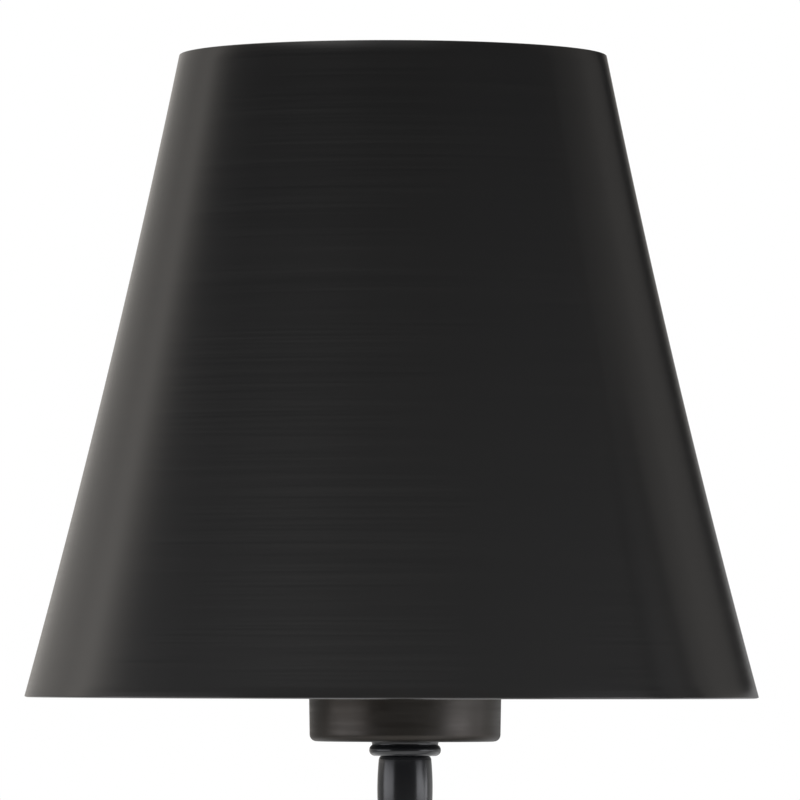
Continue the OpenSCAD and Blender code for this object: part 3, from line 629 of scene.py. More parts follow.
def shade_tree():
    """A sheet that is curled into a cone with bowed sides, and welded along its seam."""
    tree, inputs = new_tree("shade_shell", BottomRadius=0.0762, TopRadius=0.04445, Height=0.1334,
                            Bow=0.0011, Around=256, Rows=49)

    def times(a, b):
        return reckon(tree, "MULTIPLY", a, b)

    sheet = add(tree, "GeometryNodeMeshGrid", {
        "Size X": 1.0, "Size Y": 1.0, "Vertices X": reckon(tree, "ADD", inputs["Around"], 1),
        "Vertices Y": inputs["Rows"],
    })
    marked = output(tree, "GeometryNodeStoreNamedAttribute", {
        "Geometry": sheet.outputs["Mesh"], "Name": "around", "Value": sheet.outputs["UV Map"]
    }, data_type="FLOAT2", domain="CORNER")
    flat = add(tree, "ShaderNodeSeparateXYZ", {0: output(tree, "GeometryNodeInputPosition")}).outputs
    turn = times(reckon(tree, "ADD", flat["X"], 0.5), 2 * math.pi)
    up = reckon(tree, "ADD", flat["Y"], 0.5)
    taper = times(reckon(tree, "SUBTRACT", inputs["TopRadius"], inputs["BottomRadius"]), up)
    cone = reckon(tree, "ADD", inputs["BottomRadius"], taper)
    hollow = times(times(up, reckon(tree, "SUBTRACT", 1.0, up)), 4.0)
    radius = reckon(tree, "SUBTRACT", cone, times(hollow, inputs["Bow"]))
    curled = output(tree, "ShaderNodeCombineXYZ", {
        "X": times(radius, reckon(tree, "COSINE", turn)),
        "Y": times(radius, reckon(tree, "SINE", turn)),
        "Z": times(up, inputs["Height"]),
    })
    wall = output(tree, "GeometryNodeSetPosition", {"Geometry": marked, "Position": curled})
    welded = output(tree, "GeometryNodeMergeByDistance", {"Geometry": wall, "Distance": WELD})
    return end_tree(tree, inputs, welded)


def round_section(tree, curve, radius, sides):
    """A curve with a round section and closed ends."""
    section = output(tree, "GeometryNodeCurvePrimitiveCircle", {"Resolution": sides, "Radius": radius})
    return output(tree, "GeometryNodeCurveToMesh", {
        "Curve": curve, "Profile Curve": section, "Fill Caps": True
    })


def thread_tree():
    """A screw thread: a ridge that winds up a round core."""
    tree, inputs = new_tree("screw_thread", Radius=0.006, Ridge=0.0005, Pitch=0.00254, Turns=6.0, Steps=48)
    helix = output(tree, "GeometryNodeCurveSpiral", {
        "Resolution": inputs["Steps"], "Rotations": inputs["Turns"],
        "Start Radius": inputs["Radius"], "End Radius": inputs["Radius"],
        "Height": reckon(tree, "MULTIPLY", inputs["Turns"], inputs["Pitch"]),
    })
    return end_tree(tree, inputs, round_section(tree, helix, inputs["Ridge"], RIDGE_SIDES))


def stick_tree():
    """A ring of upright sticks, as the filaments stand in a bulb."""
    tree, inputs = new_tree("upright_sticks", Count=4, Radius=0.005, Thick=0.0016, Height=0.036)
    ring = output(tree, "GeometryNodeMeshCircle", {"Vertices": inputs["Count"], "Radius": inputs["Radius"]})
    stick = output(tree, "GeometryNodeMeshCylinder", {
        "Vertices": STICK_SIDES, "Radius": reckon(tree, "MULTIPLY", inputs["Thick"], 0.5),
        "Depth": inputs["Height"],
    })
    sticks = output(tree, "GeometryNodeInstanceOnPoints", {"Points": ring, "Instance": stick})
    return end_tree(tree, inputs, sticks)


def wire_tree():
    """A wire: its route with the bends rounded, then its round section."""
    tree, inputs = new_tree("wire_run", Radius=0.001, Bend=0.004)
    route = output(tree, "GeometryNodeMeshToCurve", {"Mesh": inputs["Route"]})
    bent = output(tree, "GeometryNodeFilletCurve", {
        "Curve": route, "Count": BEND_STEPS, "Radius": inputs["Bend"], "Limit Radius": True
    }, mode="POLY")
    return end_tree(tree, inputs, round_section(tree, bent, inputs["Radius"], WIRE_SIDES))


SHADE_SHELL = shade_tree()
THREAD = thread_tree()
FILAMENT_STICKS = stick_tree()
WIRE_RUN = wire_tree()


def wound(finish, core_r, crest_r, pitch, turns, z, steps):
    """A screw thread round a core, from a height up, in millimetres."""
    thread = grown(THREAD, finish, Radius=core_r * MM, Ridge=(crest_r - core_r) * MM, Pitch=pitch * MM,
                   Turns=turns, Steps=steps)
    return put(thread, z=z * MM)


# Shades. From here on sizes are in millimetres.

SHADE_TOP_D = 88.9
SHADE_BOW = 1.1
SHADE_WALL = 0.8
SHADE_EDGE = 0.2
SHADE_WEAR = 1.5 * SHADE_EDGE


def shade_radius(z):
    """Outer radius of the shade at a height above its rim."""
    t = z / height("shade_1")
    bottom = width("shade_1") / 2
    return bottom + (SHADE_TOP_D / 2 - bottom) * t - 4 * SHADE_BOW * t * (1 - t)


def shade(k):
    """The sheet with its thickness, and with rims that are rounded and worn."""
    top = SHADE_TOP_Z - RIM_Z
    sheet = grown(SHADE_SHELL, SHADE_BRONZE, BottomRadius=width(f"shade_{k}") / 2 * MM,
                  TopRadius=SHADE_TOP_D / 2 * MM, Height=top, Bow=SHADE_BOW * MM)
    holder = new_object("shade_sheet", sheet)
    modify(holder, "SOLIDIFY", thickness=SHADE_WALL * MM, offset=-1, use_even_offset=True)
    modify(holder, "BEVEL", width=SHADE_EDGE * MM, **BEVEL)
    shell = smoothed(evaluated(holder))
    mark_worn(shell, [float(min(v.co.z, top - v.co.z) < SHADE_WEAR * MM) for v in shell.vertices])
    return put(shell, SHADE_X[k], 0, RIM_Z)


for k in LIGHTS:
    show(f"brushed_shade_{k}", shade(k), SHADE_BRONZE, "fixture", f"shade_{k}")


# Cups and stems

CUP_EDGE = 1.4
CUP_LIP = 0.35
CUP_DRAFT = 0.2
CUP_WALL = 1.2
FIT_GAP = 0.1
STEM_BORE_R = 2.5
STEM_THREAD_R = 4.0
BAR_THREAD_R = 5.0
BAR_THREAD_Z = above_bar(low("stem_1").z)
STEM_BOSS_H = 0.6
STEM_BEAD_D = 14.9
STEM_BEAD_H = 2.4
STEM_NECK_D = 13.7
# How far the neck under the cup swells out, by its depth as a share of the boss
STEM_NECK = {1.2: 0.03, 1.0: 0.0, 0.6: 0.05, 0.3: 0.1, 0.0: 0.35}
STEM_SHOULDER = 0.9
STEM_SHOULDER_DROP = 0.5
STEM_SWELL_D = 11.5
STEM_SWELL_AT = 9.7
STEM_SWELL_L = 22.5
STEM_SHANK_D = 8.0
STEM_FILLET = 0.3
STEM_COLLAR_D = STEM_SHANK_D + 1.4
STEM_FLARE_H = 22.0
STEM_FOOT_H = 3.0
FLARE_SHARE = 0.44
FLARE_STEPS = 28
SWELL_STEPS = 44
SHOULDER_STEPS = 8
BEAD_STEPS = 16


def cup():
    r = width("candle_cup_1") / 2
    top = height("candle_cup_1")
    inner = r - CUP_WALL
    hole = STEM_THREAD_R + FIT_GAP
    return turned_ring([
        (hole, 0), (r - CUP_DRAFT, 0, CUP_EDGE), (r, top, CUP_LIP), (inner, top, CUP_LIP),
        (inner, CUP_WALL, 0.8), (hole, CUP_WALL),
    ], 160)


def flared_foot(bore_r, foot_d, disc_h, top_d, top_z):
    """Outline of a foot on the bar: the thread into the bar, a disc and a cove up to a collar."""
    disc = softened([
        (bore_r, BAR_THREAD_Z), (BAR_THREAD_R, BAR_THREAD_Z, 0.5), (BAR_THREAD_R, 0),
        (foot_d / 2, 0, 0.4), (foot_d / 2, disc_h, 0.8), (foot_d * FLARE_SHARE, disc_h),
    ])
    spread = foot_d * FLARE_SHARE - top_d / 2
    rise = [i / FLARE_STEPS for i in range(1, FLARE_STEPS + 1)]
    return disc + [(top_d / 2 + spread * (1 - t) ** 3, disc_h + (top_z - disc_h) * t) for t in rise]


def swell_r(depth):
    """Radius of the stem at a depth below the cup."""
    share = 1 - eased(abs(depth - STEM_SWELL_AT) / STEM_SWELL_L)
    return STEM_SHANK_D / 2 + (STEM_SWELL_D - STEM_SHANK_D) / 2 * share


def shoulder(depth, top):
    """How far the stem draws in where it rounds over under the bead."""
    near = max(0.0, 1 - (depth - top) / STEM_SHOULDER)
    return STEM_SHOULDER_DROP * (1 - math.sqrt(1 - near * near))


def stem():
    top = above_bar(CUP_Z)
    thread_top = above_bar(high("stem_1").z)
    bead = STEM_BEAD_H / 2
    bead_r = STEM_BEAD_D / 2 - bead
    foot_top = STEM_FOOT_H + STEM_FLARE_H
    shank_r = STEM_SHANK_D / 2
    shank_z = foot_top + STEM_BEAD_H
    swell_top = STEM_BOSS_H + STEM_BEAD_H
    swell_end = STEM_SWELL_AT + STEM_SWELL_L
    swell_l = swell_end - swell_top - STEM_SHOULDER
    depths = [swell_end - swell_l * i / SWELL_STEPS for i in range(SWELL_STEPS)]
    depths += [swell_top + STEM_SHOULDER * (1 - i / SHOULDER_STEPS) for i in range(SHOULDER_STEPS + 1)]
    return turned([
        *flared_foot(STEM_BORE_R, width("stem_1"), STEM_FOOT_H, STEM_COLLAR_D, foot_top),
        *arc(bead_r, foot_top + bead, bead, -90, 90, BEAD_STEPS),
        (shank_r + STEM_FILLET, shank_z), (shank_r, shank_z + STEM_FILLET),
        *[(swell_r(depth) - shoulder(depth, swell_top), top - depth) for depth in depths],
        *arc(bead_r, top - STEM_BOSS_H - bead, bead, -90, 54, BEAD_STEPS),
        *[(STEM_NECK_D / 2 + swell, top - share * STEM_BOSS_H) for share, swell in STEM_NECK.items()],
        (STEM_THREAD_R, top), (STEM_THREAD_R, thread_top), (STEM_BORE_R, thread_top),
    ], 128, closed=True)


for k in LIGHTS:
    show(f"bronze_cup_{k}", put(cup(), STEM_X[k], 0, CUP_Z), CUP_BRONZE, "fixture", f"candle_cup_{k}")
    show(f"turned_stem_{k}", put(stem(), STEM_X[k], 0, BAR_Z), STEM_BLACK, "fixture", f"stem_{k}")


# Sockets, ring nuts and fitters, by their heights above the shade's rim

SOCKET_Z = above_rim(low("lamp_sockets").z)
SOCKET_TOP = above_rim(high("lamp_sockets").z)
SOCKET_R = 13.5
SOCKET_CORE_R = 13.05
SOCKET_POCKET_R = 6.85
SOCKET_POCKET_Z = 6.0
SOCKET_BORE_R = 4.1
SOCKET_SKIRT_Z = 4.0
SOCKET_THREAD_Z = 4.6
SOCKET_THREAD_TOP = SOCKET_TOP - 1.2
SOCKET_THREAD_PITCH = 2.0
RING_NUT_Z = above_rim(low("ring_nuts").z)
RING_NUT_H = height("ring_nuts")
RING_NUT_LEDGE = RING_NUT_Z + RING_NUT_H / 3
RING_NUT_R = 21.0
RING_NUT_RIM = 3.0
GROOVES = 16
GROOVE_R = 2.0
GROOVE_LEAN = 0.05
GROOVE_STEP = 0.02
FITTER_Z = 3.0
FITTER_T = 1.2
FITTER_HOLE_R = 16.5
FITTER_RING_R = 24.0
FITTER_LAP = 1.0
FITTER_ARMS = 3
FITTER_ARM_W = 7.0
FITTER_SEAT = 0.9
FITTER_EDGE = 0.25
HOOP_Z = 1.0
HOOP_H = 6.0
HOOP_T = 1.0


def socket_body():
    return turned_ring([
        (SOCKET_BORE_R, SOCKET_Z), (SOCKET_R, SOCKET_Z, 0.4), (SOCKET_R, SOCKET_SKIRT_Z, 0.2),
        (SOCKET_CORE_R, SOCKET_SKIRT_Z), (SOCKET_CORE_R, SOCKET_TOP, 0.8), (SOCKET_POCKET_R, SOCKET_TOP, 0.5),
        (SOCKET_POCKET_R, SOCKET_POCKET_Z), (SOCKET_BORE_R, SOCKET_POCKET_Z),
    ], 96)


def socket_thread():
    turns = (SOCKET_THREAD_TOP - SOCKET_THREAD_Z) / SOCKET_THREAD_PITCH
    return wound(PHENOLIC, SOCKET_CORE_R, SOCKET_R, SOCKET_THREAD_PITCH, turns, SOCKET_THREAD_Z, 64)


def finger_groove(r, z, angle):
    """Radius of the ring nut where a groove cuts in above its ledge, a little deeper towards its top."""
    if z < RING_NUT_LEDGE + GROOVE_STEP / 2 or r < RING_NUT_R - RING_NUT_RIM:
        return r
    pitch = 2 * math.pi / GROOVES
    off = (angle + pitch / 2) % pitch - pitch / 2
    centre = RING_NUT_R + GROOVE_R / 2
    inside = GROOVE_R ** 2 - (centre * math.sin(off)) ** 2
    if inside <= 0:
        return r
    return min(r, centre * math.cos(off) - math.sqrt(inside) - GROOVE_LEAN * (RING_NUT_R - r))


def ring_nut():
    hole = SOCKET_R + FIT_GAP
    top = RING_NUT_Z + RING_NUT_H
    return turned_ring([
        (hole, RING_NUT_Z), (RING_NUT_R, RING_NUT_Z, 0.4), (RING_NUT_R, RING_NUT_LEDGE),
        (RING_NUT_R, RING_NUT_LEDGE + GROOVE_STEP), (RING_NUT_R, top, 0.7), (hole, top, 0.4),
    ], 256, reshape=finger_groove)


def block(size, place, edge):
    """A rectangular block with its edges rounded."""
    fitted = Matrix.LocRotScale(Vector(place) * MM, None, Vector(size) * MM)

    def cube(shape):
        bmesh.ops.create_cube(shape, size=1.0, matrix=fitted)

    return eased_edges(worked(bpy.data.meshes.new("block"), cube), edge)


def band(low_in, low_out, bottom, high_in, high_out, top, steps):
    """A ring of sheet metal with its four edges rounded."""
    return turned_ring([
        (low_in, bottom, FITTER_EDGE), (low_out, bottom, FITTER_EDGE),
        (high_out, top, FITTER_EDGE), (high_in, top, FITTER_EDGE),
    ], steps)


def fitter():
    """A flat ring on the cup, with arms out to the hoop inside the shade."""
    top = FITTER_Z + FITTER_T
    hoop_top = HOOP_Z + HOOP_H
    low_r = shade_radius(HOOP_Z) - FITTER_SEAT
    high_r = shade_radius(hoop_top) - FITTER_SEAT
    inner = FITTER_RING_R - FITTER_LAP
    outer = shade_radius(top) - FITTER_SEAT - HOOP_T / 2
    pieces = [
        band(FITTER_HOLE_R, FITTER_RING_R, FITTER_Z, FITTER_HOLE_R, FITTER_RING_R, top, 128),
        band(low_r - HOOP_T, low_r, HOOP_Z, high_r - HOOP_T, high_r, hoop_top, 192),
    ]
    for arm in range(FITTER_ARMS):
        place = ((outer + inner) / 2, 0, FITTER_Z + FITTER_T / 2)
        bar = block((outer - inner, FITTER_ARM_W, FITTER_T), place, FITTER_EDGE)
        pieces.append(put(bar, turn=Matrix.Rotation(math.radians(90 + 360 * arm / FITTER_ARMS), 4, "Z")))
    return joined(pieces)


for name, make, places, finish, nodes in (
    ("socket_bodies", socket_body, STEM_X, PHENOLIC, ["lamp_sockets"]),
    ("socket_threads", socket_thread, STEM_X, PHENOLIC, []),
    ("grooved_ring_nuts", ring_nut, STEM_X, PHENOLIC, ["ring_nuts"]),
    ("spider_fitters", fitter, SHADE_X, ZINC, ["shade_fitters"]),
):
    show(name, repeated(make, places.values(), RIM_Z), finish, "fixture", *nodes)


# Bulbs, by their heights above the shade's rim

CAP_R = 5.9
CAP_ROOT_R = 5.5
CAP_TIP_R = 2.2
CAP_TIP_H = 1.2
CAP_CONE_H = 2.6
CAP_LAP = 1.0
CAP_PITCH = 2.54
CAP_TURNS = 6.0
GLASS_D = 35.0
GLASS_BELLY = 34.0
GLASS_NECK_H = 5.0
GLASS_WALL = 0.8
GLASS_TIP_R = 0.2
# The inner and outer powers that round the glass off above its belly
GLASS_CROWN = (2.2, 0.62)
GLASS_STEPS = 80
STALK_FOOT_R = 4.5
STALK_R = 2.5
STALK_LIFT = 0.9
STALK_CONE_H = 7.0
STALK_H = 22.0
FILAMENT_H = 36.0
FILAMENT_D = 1.6
FILAMENT_RING_R = 5.0
FILAMENT_COUNT = 4
CAP_Z = above_rim(low("bulb_cap_1").z)
CAP_THREAD_Z = CAP_Z + CAP_TIP_H + CAP_CONE_H
GLASS_Z = above_rim(low("bulb_glass_1").z)
GLASS_H = height("bulb_glass_1")


def bulb_cap():
    top = GLASS_Z + CAP_LAP
    contact = turned_solid([
        (0, CAP_Z), (CAP_TIP_R, CAP_Z, 0.6), (CAP_TIP_R, CAP_Z + CAP_TIP_H, 0.2),
        (CAP_ROOT_R, CAP_THREAD_Z, 0.6), (CAP_ROOT_R, top, 0.3), (0, top),
    ], 96)
    return joined([contact, wound(BRASS, CAP_ROOT_R, CAP_R, CAP_PITCH, CAP_TURNS, CAP_THREAD_Z, 64)])


def glass_radius(z):
    """Outer radius of the glass at a height above the cap."""
    if z < GLASS_NECK_H:
        return CAP_R
    belly = GLASS_D / 2
    if z < GLASS_BELLY:
        return CAP_R + (belly - CAP_R) * eased((z - GLASS_NECK_H) / (GLASS_BELLY - GLASS_NECK_H))
    inner, outer = GLASS_CROWN
    return belly * (1 - ((z - GLASS_BELLY) / (GLASS_H - GLASS_BELLY)) ** inner) ** outer


def bulb_glass():
    inner_h = GLASS_H - 2 * GLASS_WALL
    rise = [math.sin(math.pi / 2 * i / GLASS_STEPS) for i in range(GLASS_STEPS)]
    radii = [glass_radius(GLASS_H * t) for t in rise]
    outer = [(r, GLASS_Z + GLASS_H * t) for r, t in zip(radii, rise)]
    inner = [(max(GLASS_TIP_R, r - GLASS_WALL), GLASS_Z + inner_h * t) for r, t in zip(radii, rise)]
    tip = [(0, GLASS_Z + GLASS_H), (0, GLASS_Z + inner_h)]
    return turned([*outer, *tip, *reversed(inner)], 96, closed=True)


def bulb_stalk():
    foot = GLASS_Z + STALK_LIFT
    top = GLASS_Z + STALK_H
    return turned_solid([
        (0, foot), (STALK_FOOT_R, foot, 0.4), (STALK_R, GLASS_Z + STALK_CONE_H, 3),
        (STALK_R, top, 1.0), (0, top),
    ], 48)


def filament_rings():
    """The two metal rings that carry the filaments."""
    rings = []
    r = FILAMENT_RING_R + FILAMENT_D
    for top in (GLASS_Z + STALK_H, GLASS_Z + STALK_H + FILAMENT_H):
        bottom = top - FILAMENT_D
        rings.append(turned_solid([(0, bottom), (r, bottom, 0.4), (r, top, 0.4), (0, top)], 48))
    return joined(rings)


def filaments():
    sticks = grown(FILAMENT_STICKS, FILAMENT, Count=FILAMENT_COUNT, Radius=FILAMENT_RING_R * MM,
                   Thick=FILAMENT_D * MM, Height=FILAMENT_H * MM)
    return put(sticks, z=(GLASS_Z + STALK_H + FILAMENT_H / 2 - FILAMENT_D) * MM)


for k in LIGHTS:
    for name, make, finish, slot, nodes in (
        ("cap", bulb_cap, BRASS, "brass", [f"bulb_cap_{k}"]),
        ("glass", bulb_glass, GLASS, "clear_glass", [f"bulb_glass_{k}"]),
        ("stalk", bulb_stalk, GLASS, "clear_glass", []),
        ("filament_rings", filament_rings, ZINC, "brass", []),
        ("filaments", filaments, FILAMENT, "brass", []),
    ):
        show(f"bulb_{k}_{name}", put(make(), STEM_X[k], 0, RIM_Z), finish, f"bulb_{k}", *nodes, slot=slot)


# Rods, couplers, feet and finials

ROD_R = width("upper_rod_left") / 2
ROD_BORE_R = 4.75
ROD_L = height("upper_rod_left")
COUPLER_R = width("rod_couplers") / 2 - ROD_X["right"] / MM
COUPLER_Z = high("lower_rod_left").z
COUPLER_H = (low("upper_rod_left").z - COUPLER_Z) / MM
FOOT_D = width("rod_foot_left")
FOOT_H = above_bar(low("lower_rod_left").z)
FOOT_DISC_H = 3.0
FOOT_COLLAR_D = 2 * ROD_R + 1
SPIGOT_R = ROD_BORE_R - FIT_GAP
SPIGOT_L = 12.0
FEED_BORE_R = 3.0
COLLAR_R = 9.0
COLLAR_H = 3.0
FINIAL_NECK_R = 6.7
FINIAL_BALL_R = 8.0
FINIAL_TIP_R = 2.2
FINIAL_HOLE_H = 10.0
FINIAL_X = [*STEM_X.values(), *ROD_X.values()]


def rod():
    return turned_ring([(ROD_BORE_R, 0), (ROD_R, 0, 0.3), (ROD_R, ROD_L, 0.3), (ROD_BORE_R, ROD_L)], 96)


def coupler():
    edge = COUPLER_H / 4
    head = COUPLER_H + SPIGOT_L
    return turned_ring([
        (FEED_BORE_R, -SPIGOT_L), (SPIGOT_R, -SPIGOT_L, 0.4), (SPIGOT_R, 0), (ROD_R, 0, 0.2),
        (COUPLER_R, edge, 0.5), (COUPLER_R, COUPLER_H - edge, 0.5), (ROD_R, COUPLER_H, 0.2),
        (SPIGOT_R, COUPLER_H), (SPIGOT_R, head, 0.4), (FEED_BORE_R, head),
    ], 112)


def rod_foot():
    head = FOOT_H + SPIGOT_L
    return turned([
        *flared_foot(FEED_BORE_R, FOOT_D, FOOT_DISC_H, FOOT_COLLAR_D, FOOT_H),
        *softened([(SPIGOT_R, FOOT_H), (SPIGOT_R, head, 0.4), (FEED_BORE_R, head)]),
    ], 112, closed=True)


def finial():
    """A nut under the bar: tip, ball, neck and collar from below, and the hole for its thread."""
    ball_z = -COLLAR_H - FINIAL_NECK_R
    tip_z = ball_z - FINIAL_BALL_R - FINIAL_TIP_R / 2
    gap = ball_z - tip_z
    meet = (gap ** 2 + FINIAL_BALL_R ** 2 - FINIAL_TIP_R ** 2) / (2 * gap)
    tip_end = math.degrees(math.asin((gap - meet) / FINIAL_TIP_R))
    ball_start = -math.degrees(math.asin(meet / FINIAL_BALL_R))
    ball_end = latitude(FINIAL_NECK_R, FINIAL_BALL_R)
    bead = COLLAR_H / 2
    hole = BAR_THREAD_R + FIT_GAP
    return turned([
        (0, tip_z - FINIAL_TIP_R),
        *arc(0, tip_z, FINIAL_TIP_R, -85, tip_end, 12),
        *arc(0, ball_z, FINIAL_BALL_R, ball_start + 1, ball_end, 28),
        (FINIAL_NECK_R, -COLLAR_H),
        *arc(COLLAR_R - bead, -bead, bead, -90, 90, 14),
        (hole, 0), (hole, -FINIAL_HOLE_H), (0, -FINIAL_HOLE_H),
    ], 112)


for side, x in ROD_X.items():
    for node in (f"upper_rod_{side}", f"lower_rod_{side}"):
        show(f"{node}_tube", put(rod(), x, 0, low(node).z), FRAME_BRONZE, "fixture", node)
    foot = put(rod_foot(), x, 0, BAR_Z)
    show(f"rod_foot_{side}_turned", foot, FRAME_BRONZE, "fixture", f"rod_foot_{side}")

show("turned_couplers", repeated(coupler, ROD_X.values(), COUPLER_Z), FRAME_BRONZE, "fixture", "rod_couplers")
show("turned_finials", repeated(finial, FINIAL_X, BAR_UNDER_Z), FRAME_BRONZE, "fixture", "drop_finials")


# The bar: rounded rectangles whose size changes from row to row

BAR_HALF = high("main_bar").x
BAR_W = breadth("main_bar")
BAR_H = height("main_bar")
BAR_EDGE = 1.0
BAR_WALL = 1.6
PLUG_L = 9.0
END_FACE_T = 3.0
END_FACE_IN = 1.5
END_LAP = 0.5
END_FILLET = 0.6
END_NECK_R = 5.0
END_NECK_L = 4.0
END_BALL_R = 8.5
LEAST_CORNER = 0.3
CORNER_STEPS = 10
FLAT_LIMIT = 0.02


def rounded_ring(length, breadth, corner):
    """Points of a rounded rectangle, anticlockwise. A point by each corner keeps the sides flat."""
    points = []
    hold = corner / 4
    for turn, (sx, sy) in enumerate(((1, 1), (-1, 1), (-1, -1), (1, -1))):
        centre = (sx * (length / 2 - corner), sy * (breadth / 2 - corner))
        bend = arc(*centre, corner, 90 * turn, 90 * turn + 90, CORNER_STEPS)
        along = math.radians(90 * turn)
        points.append((bend[0][0] + hold * math.sin(along), bend[0][1] - hold * math.cos(along)))
        points += bend
        points.append((bend[-1][0] - hold * math.cos(along), bend[-1][1] - hold * math.sin(along)))
    return points


def rectangular(length, breadth, corner, rows, tube=False):
    """A closed piece of rounded rectangles, from rows (outset, z, worn) that run up the outside.

    Flat ends close it, or a tube's rows run down its inside again.
    """
    vertices, worn_values, faces = [], [], []
    for outset, z, wear in rows:
        ring = rounded_ring(length + 2 * outset, breadth + 2 * outset, max(corner + outset, LEAST_CORNER))
        vertices += [(x * MM, y * MM, z * MM) for x, y in ring]
        worn_values += [wear] * len(ring)
    count = len(ring)
    for i in range(len(rows) if tube else len(rows) - 1):
        below = i * count
        above = (i + 1) % len(rows) * count
        for j in range(count):
            ahead = (j + 1) % count
            faces.append((below + j, below + ahead, above + ahead, above + j))
    if not tube:
        last = count * (len(rows) - 1)
        faces.append(range(count - 1, -1, -1))
        faces.append(range(last, last + count))
    mesh = plain_mesh(vertices, [], faces)
    mark_worn(mesh, worn_values)
    return smoothed(mesh)


def bar_tube():
    """The tube with its rounded edges worn, and a hole for every stem and rod."""
    half = BAR_HALF / MM
    tube = rectangular(BAR_H, BAR_W, BAR_EDGE, [
        (-BAR_WALL, -half, 0), (0, -half, 0), (0, half, 0), (-BAR_WALL, half, 0),
    ], tube=True)
    depths = [min(BAR_H / 2 - abs(v.co.x) / MM, BAR_W / 2 - abs(v.co.y) / MM) for v in tube.vertices]
    mark_worn(tube, [float(FLAT_LIMIT < depth < BAR_EDGE) for depth in depths])
    put(tube, 0, 0, BAR_MIDDLE_Z, sideways())
    return cut_away(tube, drill(FINIAL_X, BAR_THREAD_R + FIT_GAP, BAR_UNDER_Z / MM, BAR_Z / MM))


def bar_end(way):
    """The plug and end plate of the bar with its neck and ball, pointing up until it is turned."""
    inset = -BAR_WALL - FIT_GAP
    plate = rectangular(BAR_H, BAR_W, BAR_EDGE, softened([
        (inset, -PLUG_L), (inset, 0), (0, 0, 0.3), (0, END_FACE_T, 0.7), (-END_FACE_IN, END_FACE_T),
    ]))
    neck_angle = latitude(END_NECK_R, END_BALL_R)
    ball_z = END_FACE_T + END_NECK_L + END_BALL_R * math.sin(math.radians(neck_angle))
    foot_r = END_NECK_R + END_FILLET
    foot_z = END_FACE_T - END_LAP
    ball = turned([
        (0, foot_z), (foot_r, foot_z),
        *arc(foot_r, END_FACE_T + END_FILLET, END_FILLET, -90, -180, 5),
        *arc(0, ball_z, END_BALL_R, -neck_angle, 88, 36),
        (0, ball_z + END_BALL_R),
    ], 112)
    return put(joined([plate, ball]), way * BAR_HALF, 0, BAR_MIDDLE_Z, sideways(way))


show("bar_tube", bar_tube(), FRAME_BRONZE, "fixture", "main_bar")
for side, way in zip(SIDES, WAYS):
    show(f"bar_end_{side}_ball", bar_end(way), FRAME_BRONZE, "fixture", f"bar_end_{side}")


# Canopy, swivels and their screws

CANOPY_L = width("canopy_shell")
CANOPY_W = breadth("canopy_shell")
CANOPY_Z = low("canopy_shell").z / MM
CANOPY_CORNER = 14.0
CANOPY_STEP = 5.0
CANOPY_STEP_H = 6.0
CANOPY_WALL = 1.2
CANOPY_FLOOR = 2.0
CANOPY_FACE_IN = 6.0
CANOPY_FLOOR_IN = 2.0
BALL_R = 7.0
BALL_NECK_L = 12.0
YOKE_R = 12.5
FLANGE_R = 17.0
FLANGE_H = 3.0
ROOF_GAP = 1.0
CHEEK_T = 3.6
CHEEK_GAP = 7.3
CHEEK_LAP = 1.0
CHEEK_EDGE = 0.5
STUB_R = 5.0
STUB_CORE_R = 4.7
STUB_H = 9.0
STUB_PITCH = 1.0
STUB_THREAD_IN = 0.5
PIVOT_R = 2.0
PIVOT_GAP = 0.05
PIVOT_TIP = FEED_BORE_R + 0.5
PIVOT_HEAD_R = 3.75
PIVOT_HEAD_H = 2.0
PIVOT_SLOT = 1.2
SLOT_EDGE = 0.01
SCREW_R = 2.1
SCREW_CORE_R = 1.75
SCREW_PITCH = 0.8
SCREW_THREAD_IN = 1.0
SCREW_X = high("canopy_screws").x - SCREW_R * MM
SCREW_PLACES = (-SCREW_X, SCREW_X)
SCREW_Z = low("canopy_screws").z / MM
KNOB_R = 5.5
KNOB_COLLAR_R = 3.9
KNOB_COLLAR_H = 2.0
KNOB_EDGE = 0.3
KNOB_HOLE_H = 7.0


def canopy():
    step_z = CANOPY_Z + CANOPY_STEP_H
    floor_z = CANOPY_Z + CANOPY_FLOOR
    inner_step = CANOPY_STEP + CANOPY_WALL
    pan = rectangular(CANOPY_L, CANOPY_W, CANOPY_CORNER, softened([
        (-CANOPY_STEP - CANOPY_FACE_IN, CANOPY_Z), (-CANOPY_STEP, CANOPY_Z, 1.6), (-CANOPY_STEP, step_z, 1.0),
        (0, step_z, 1.6), (0, 0, 0.4), (-CANOPY_WALL, 0, 0.4), (-CANOPY_WALL, step_z + CANOPY_WALL, 0.4),
        (-inner_step, step_z + CANOPY_WALL, 0.6), (-inner_step, floor_z, 0.4),
        (-inner_step - CANOPY_FLOOR_IN, floor_z),
    ]))
    for places, radius in ((ROD_X.values(), STUB_R), (SCREW_PLACES, SCREW_R)):
        pan = cut_away(pan, drill(places, radius + FIT_GAP, CANOPY_Z, floor_z))
    return pan


def swivel_ball():
    """The ball tongue with a feed bore down it, and one across it for the pivot screws."""
    neck = latitude(ROD_R, BALL_R)
    top = latitude(FEED_BORE_R, BALL_R)
    foot = -BALL_NECK_L - SPIGOT_L
    shank = softened([
        (FEED_BORE_R, foot), (SPIGOT_R, foot, 0.4), (SPIGOT_R, -BALL_NECK_L),
        (ROD_R, -BALL_NECK_L, 0.3), (ROD_R, 0),
    ])
    ball = turned([*shank[:-1], *arc(0, 0, BALL_R, -neck, top, 32)], 96, closed=True)
    bore = put(drill((0,), PIVOT_R + PIVOT_GAP, -BALL_R, BALL_R), turn=sideways())
    return cut_away(ball, bore)


